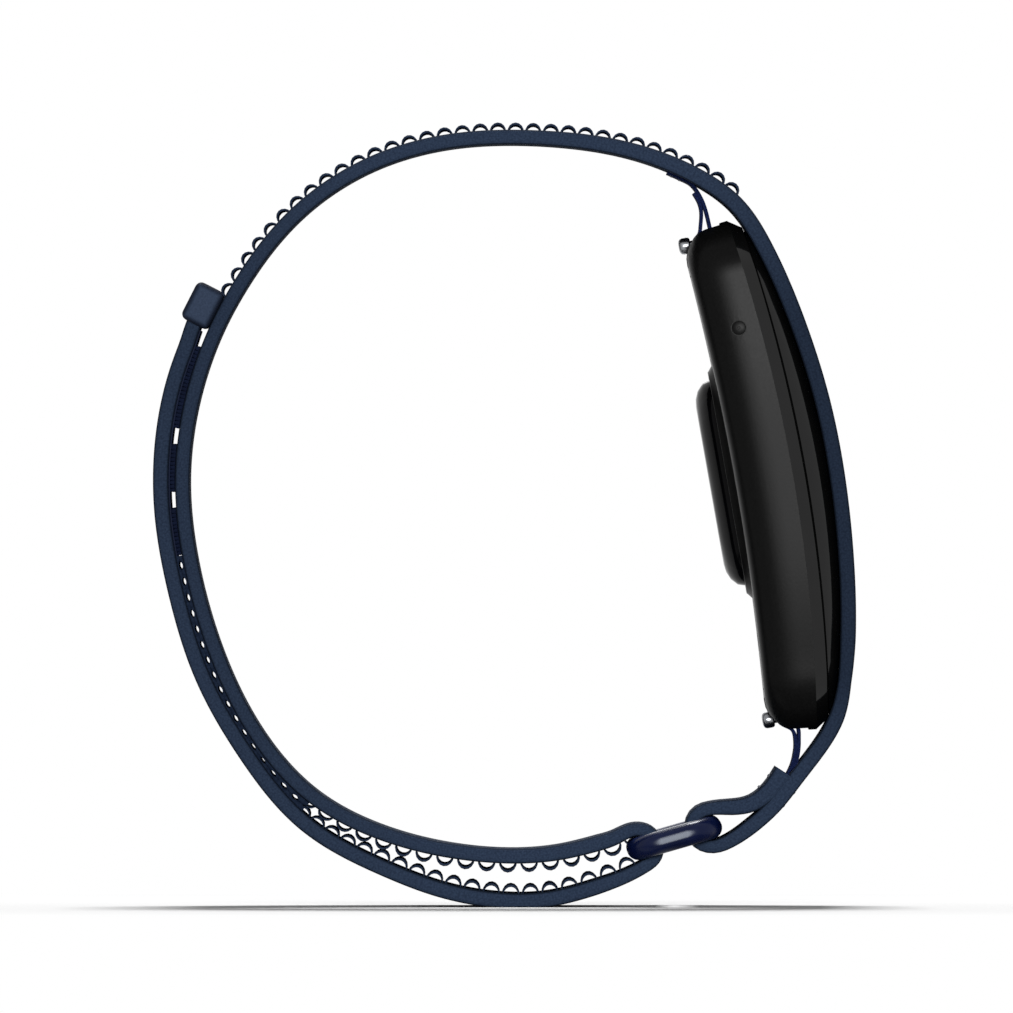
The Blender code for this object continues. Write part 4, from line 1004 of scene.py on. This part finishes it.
gold = mottled("gold_plate", (205, 170, 96), (226, 194, 120), 1800.0, 3.0, rough=(0.18, 0.32), Metallic=1.0)
pads = bmesh.new()
for across in PAD_PLACES:
    pad_spot = Matrix.Translation((pad_face + PAD_SINK, across, PAD_HEIGHT)) @ pad_turn
    peg(pads, PAD_RADIUS, PAD_RADIUS, PAD_DEPTH, pad_spot)
outer_rims = [e for e in pads.edges if all(v.co.x < pad_face + PAD_SINK for v in e.verts)]
round_edges(pads, outer_rims, PAD_ROUND, 2)
charge_pads = piece("charging_pads", pads, gold, POD_SHARP, pod_place)
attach(charge_pads, "pod")
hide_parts("charge_pad_1", "charge_pad_2", "charge_pad_3", "charge_pad_4")

# The vent: a small moulded disc pressed into its seat in the side wall, with a pinhole in its middle
# that lets the air in the pod breathe through a film behind it.
VENT_PROFILE = [(0, 0.05), (0.1, 0.05), (0.13, 0), (0.58, 0), (0.63, 0.02), (0.65, 0.06), (0.65, 0.5), (0, 0.5)]
VENT_SINK = 0.005


def turned_shape(profile, steps=32):
    """A turned shape about Y from (radius, place along Y) points."""
    shape = bmesh.new()
    line = [shape.verts.new((radius, along, 0)) for radius, along in profile]
    edges = [shape.edges.new(pair) for pair in zip(line, line[1:])]
    bmesh.ops.spin(
        shape, geom=line + edges, cent=(0, 0, 0), axis=(0, 1, 0), angle=2 * math.pi, steps=steps, use_merge=True
    )
    bmesh.ops.remove_doubles(shape, verts=shape.verts, dist=0.001)
    return shape


vent_shape = turned_shape(VENT_PROFILE, 40)
vent_place = pod_place @ vent_spot @ Matrix.Translation((0, VENT_SINK, 0))
vent = piece("vent_disc", vent_shape, matte_wall, POD_SHARP, vent_place)
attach(vent, "pod")
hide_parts("vent_plug")

# The spring bars: a stainless tube across each end of the pod, with a fixed tip in one lug and in
# the other a sprung release pin. The pin's small knob stands out through a slot in the tube, where a
# fingernail draws it back.
BAR_HEIGHT = 21.9
BAR_DEPTH = -3.0
TUBE_RADIUS = 0.75
TUBE_LIP = 0.68
TUBE_END = LUG_GAP / 2 - 0.2
TUBE_BEND = TUBE_END - 0.08
BORE_RADIUS = 0.55
BORE_END = 3.1
TIP_RADIUS = 0.4
TIP_REACH = 8.9
TIP_CONE = 0.15
PIN_RADIUS = 0.47
PIN_FACE = -7.8
PIN_END = -3.2
PIN_TRAVEL = 1.3
PEG_PLACE = -5.2
SLOT_DEPTH = 2
SLOT_PLAY = (0.2, 0.16)
KNOB_PROFILE = [(0, 0), (TIP_RADIUS, 0), (TIP_RADIUS, 1.25), (0.6, 1.27), (0.72, 1.38), (0.75, 1.55)]
KNOB_PROFILE += [(0.75, 1.95), (0.7, 2.14), (0.57, 2.27), (0.35, 2.34), (0, 2.35)]

steel = mottled("bright_steel", (118, 120, 123), (138, 140, 143), 2500.0, rough=(0.2, 0.3), Metallic=1.0)

for end, height in (("upper", BAR_HEIGHT), ("lower", -BAR_HEIGHT)):
    bar_place = pod_place @ Matrix.Translation((BAR_DEPTH, 0, height))
    tube_profile = [(0, BORE_END), (BORE_RADIUS, BORE_END), (BORE_RADIUS, -TUBE_END), (TUBE_LIP, -TUBE_END)]
    tube_profile += [(TUBE_RADIUS, -TUBE_BEND), (TUBE_RADIUS, TUBE_BEND), (TUBE_LIP, TUBE_END)]
    tube_profile += [(TIP_RADIUS, TUBE_END), (TIP_RADIUS, TIP_REACH - TIP_CONE)]
    tube_profile += [(TIP_RADIUS - TIP_CONE, TIP_REACH), (0, TIP_REACH)]
    tube = piece(f"{end}_bar", turned_shape(tube_profile), steel, POD_SHARP, bar_place)
    slot_size = (SLOT_DEPTH, 2 * TIP_RADIUS + PIN_TRAVEL + SLOT_PLAY[0], 2 * TIP_RADIUS + SLOT_PLAY[1])
    slot_spot = Matrix.Translation((-SLOT_DEPTH / 2, PEG_PLACE + PIN_TRAVEL / 2, 0))
    slot_shape = bmesh.new()
    block(slot_shape, slot_size, bar_place @ slot_spot)
    carve(tube, slot_shape)
    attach(tube, "pod")
    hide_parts(f"{end}_bar_tube")

    pin_profile = [(0, -TIP_REACH), (TIP_RADIUS - TIP_CONE, -TIP_REACH), (TIP_RADIUS, -TIP_REACH + TIP_CONE)]
    pin_profile += [(TIP_RADIUS, PIN_FACE), (PIN_RADIUS, PIN_FACE), (PIN_RADIUS, PIN_END), (0, PIN_END)]
    pin_shape = turned_shape(pin_profile)
    knob_shape = turned_shape(KNOB_PROFILE)
    knob_turn = Matrix.Translation((0, PEG_PLACE, 0)) @ Matrix.Rotation(math.pi / 2, 4, "Z")
    bmesh.ops.transform(knob_shape, matrix=knob_turn, verts=knob_shape.verts)
    add_shape(pin_shape, knob_shape)
    pin = piece(f"{end}_release_knob", pin_shape, steel, POD_SHARP, bar_place)
    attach(pin, f"{end}_pin")
    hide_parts(f"{end}_release_pin")

# The ribbon loops: two short lengths of thin woven navy ribbon, sewn to the inside of the strap.
# Each goes round a spring bar and back, with a slit beside the release knob so that it can slide.
RIBBON_WIDTH = 15.2
RIBBON_THICKNESS = 0.3
RIBBON_PLAY = 0.02
KNOB_ROOM = 0.95
SLIT_REACH = 2
UPPER_SEAM = (2.9, 2.1, 1.3, 0.6)
UPPER_RIBBON = [(17.55, 65.0), (17.98, 64.2), (18.27, 63.4), (18.48, 62.6), (18.66, 61.8)]
UPPER_RIBBON_BACK = [(17.82, 61.95), (17.88, 62.7), (17.87, 63.35), (17.7, 64.05), (17.2, 64.95)]
LOWER_RIBBON = [(25.95, 12.0), (26.35, 12.6), (26.56, 13.25), (26.69, 13.9), (26.77, 14.6), (26.78, 15.4)]
LOWER_RIBBON += [(26.72, 16.2)]
LOWER_RIBBON_BACK = [(26.25, 15.95), (26.45, 15.2), (26.47, 14.5), (26.38, 13.8), (26.24, 13.15)]
LOWER_RIBBON_BACK += [(26.02, 12.55), (25.75, 12.0)]
UPPER_WRAP = (32, -240)
LOWER_WRAP = (-30, 262)
RIBBON_STEP = 0.2
RIBBON_STITCHES = (0.5, 1.3)
RIBBON_SEAM_WIDTH = RIBBON_WIDTH - 1
# The ribbons get no painted shade along them.
NO_PAINTED_SHADE = [(0, 1.0), (20, 1.0)]

ribbon_cloth = woven("ribbon_cloth", (13, 21, 52), (25, 36, 74), RIBBON_WIDTH, NO_PAINTED_SHADE, stitch=0.16, rib=0.35)


def ribbon_route(height, coming, leaving, first, last):
    """A ribbon's middle line, to its spring bar, round it and back."""
    bar = pod_place @ Vector((BAR_DEPTH, 0, height)) / MM
    wrap = TUBE_RADIUS + RIBBON_PLAY + RIBBON_THICKNESS / 2
    return Route(coming + arc((bar.x, bar.z), wrap, first, last, 6) + leaving)


def ribbon(name, route, height):
    """A ribbon along its route, with a slit on the wrist side of its bar for the knob."""
    length = route.knots[-1]
    sheet = bmesh.new()
    bmesh.ops.create_grid(sheet, x_segments=int(length / RIBBON_STEP), y_segments=2, size=0.5)
    for vert in sheet.verts:
        vert.co = ((vert.co.x + 0.5) * length, vert.co.y * RIBBON_WIDTH, 0)
    slit = (PEG_PLACE - KNOB_ROOM, PEG_PLACE + PIN_TRAVEL + KNOB_ROOM)
    slice_at(sheet, (0, 1, 0), slit)
    taken = []
    for face in sheet.faces:
        middle = face.calc_center_median()
        x, z = route.at(middle.x)[0]
        spot = pod_place.inverted() @ (Vector((x, 0, z)) * MM)
        if slit[0] < middle.y < slit[1] and spot.x < BAR_DEPTH and abs(spot.z - height) < SLIT_REACH:
            taken.append(face)
    bmesh.ops.delete(sheet, geom=taken, context="FACES")
    bmesh.ops.solidify(sheet, geom=sheet.faces[:], thickness=RIBBON_THICKNESS)
    middle = sum(v.co.z for v in sheet.verts) / len(sheet.verts)
    bmesh.ops.translate(sheet, vec=(0, 0, -middle), verts=sheet.verts)
    mark_cloth(sheet, 0, RIBBON_WIDTH)
    lay(sheet, route, 0)
    made = piece(name, sheet, ribbon_cloth, 50)
    return made


seam_line = strap_route.near(TOP[1])
seam_depth = -(STRAP_THICKNESS + RIBBON_THICKNESS) / 2
upper_lead = [tuple(strap_route.beside(seam_line + before, seam_depth)) for before in UPPER_SEAM]
upper_route = ribbon_route(BAR_HEIGHT, upper_lead + UPPER_RIBBON, UPPER_RIBBON_BACK, *UPPER_WRAP)
upper_ribbon = ribbon("upper_ribbon_loop", upper_route, BAR_HEIGHT)
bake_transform(upper_ribbon)
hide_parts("upper_ribbon")

upper_seam = bmesh.new()
for place in RIBBON_STITCHES:
    stitch_row(upper_seam, upper_route, place, RIBBON_THICKNESS / 2, RIBBON_SEAM_WIDTH)
upper_stitches = piece("upper_ribbon_stitches", upper_seam, sewing_thread, 60)
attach(upper_stitches, "band")

lower_route = ribbon_route(-BAR_HEIGHT, LOWER_RIBBON, LOWER_RIBBON_BACK, *LOWER_WRAP)
lower_ribbon = ribbon("lower_ribbon_loop", lower_route, -BAR_HEIGHT)
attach(lower_ribbon, "band")
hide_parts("lower_ribbon")

# Inside the pod: boards, cell, sensor chips, gasket and motor, sealed in and out of sight. They keep
# their plain shapes and get the finish of what each is made of.
FOIL_NODES = ("battery", "shield_can", "motor_base", "motor_case")
INSIDE_FINISHES = (
    ("board_green", (16, 70, 40), (24, 88, 52), 1500.0, 0.45, 0.0, ("main_board", "sensor_board")),
    ("cell_foil", (168, 170, 174), (190, 192, 196), 600.0, 0.35, 0.9, FOIL_NODES),
    ("chip_black", (18, 18, 19), (28, 28, 30), 2500.0, 0.5, 0.0, ("detector_1", "detector_2", "light_baffle")),
    ("emitter_green", (88, 176, 112), (116, 204, 138), 800.0, 0.25, 0.0, ("emitter_1", "emitter_2", "emitter_3")),
    ("copper_film", (170, 106, 36), (196, 128, 50), 900.0, 0.4, 0.3, ("antenna", "sensor_flex")),
    ("seal_rubber", (16, 16, 17), (24, 24, 25), 1800.0, 0.75, 0.0, ("cover_gasket",)),
)
finishes = [(steel, ("upper_bar_spring", "lower_bar_spring", "motor_rotor"))]
for name, dark, light, grain, rough, metal, nodes in INSIDE_FINISHES:
    rub = (rough * 0.85, rough * 1.15)
    finishes.append((mottled(name, dark, light, grain, rough=rub, Metallic=metal), nodes))
for finish, nodes in finishes:
    for name in nodes:
        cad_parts[name].data.materials.clear()
        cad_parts[name].data.materials.append(finish)
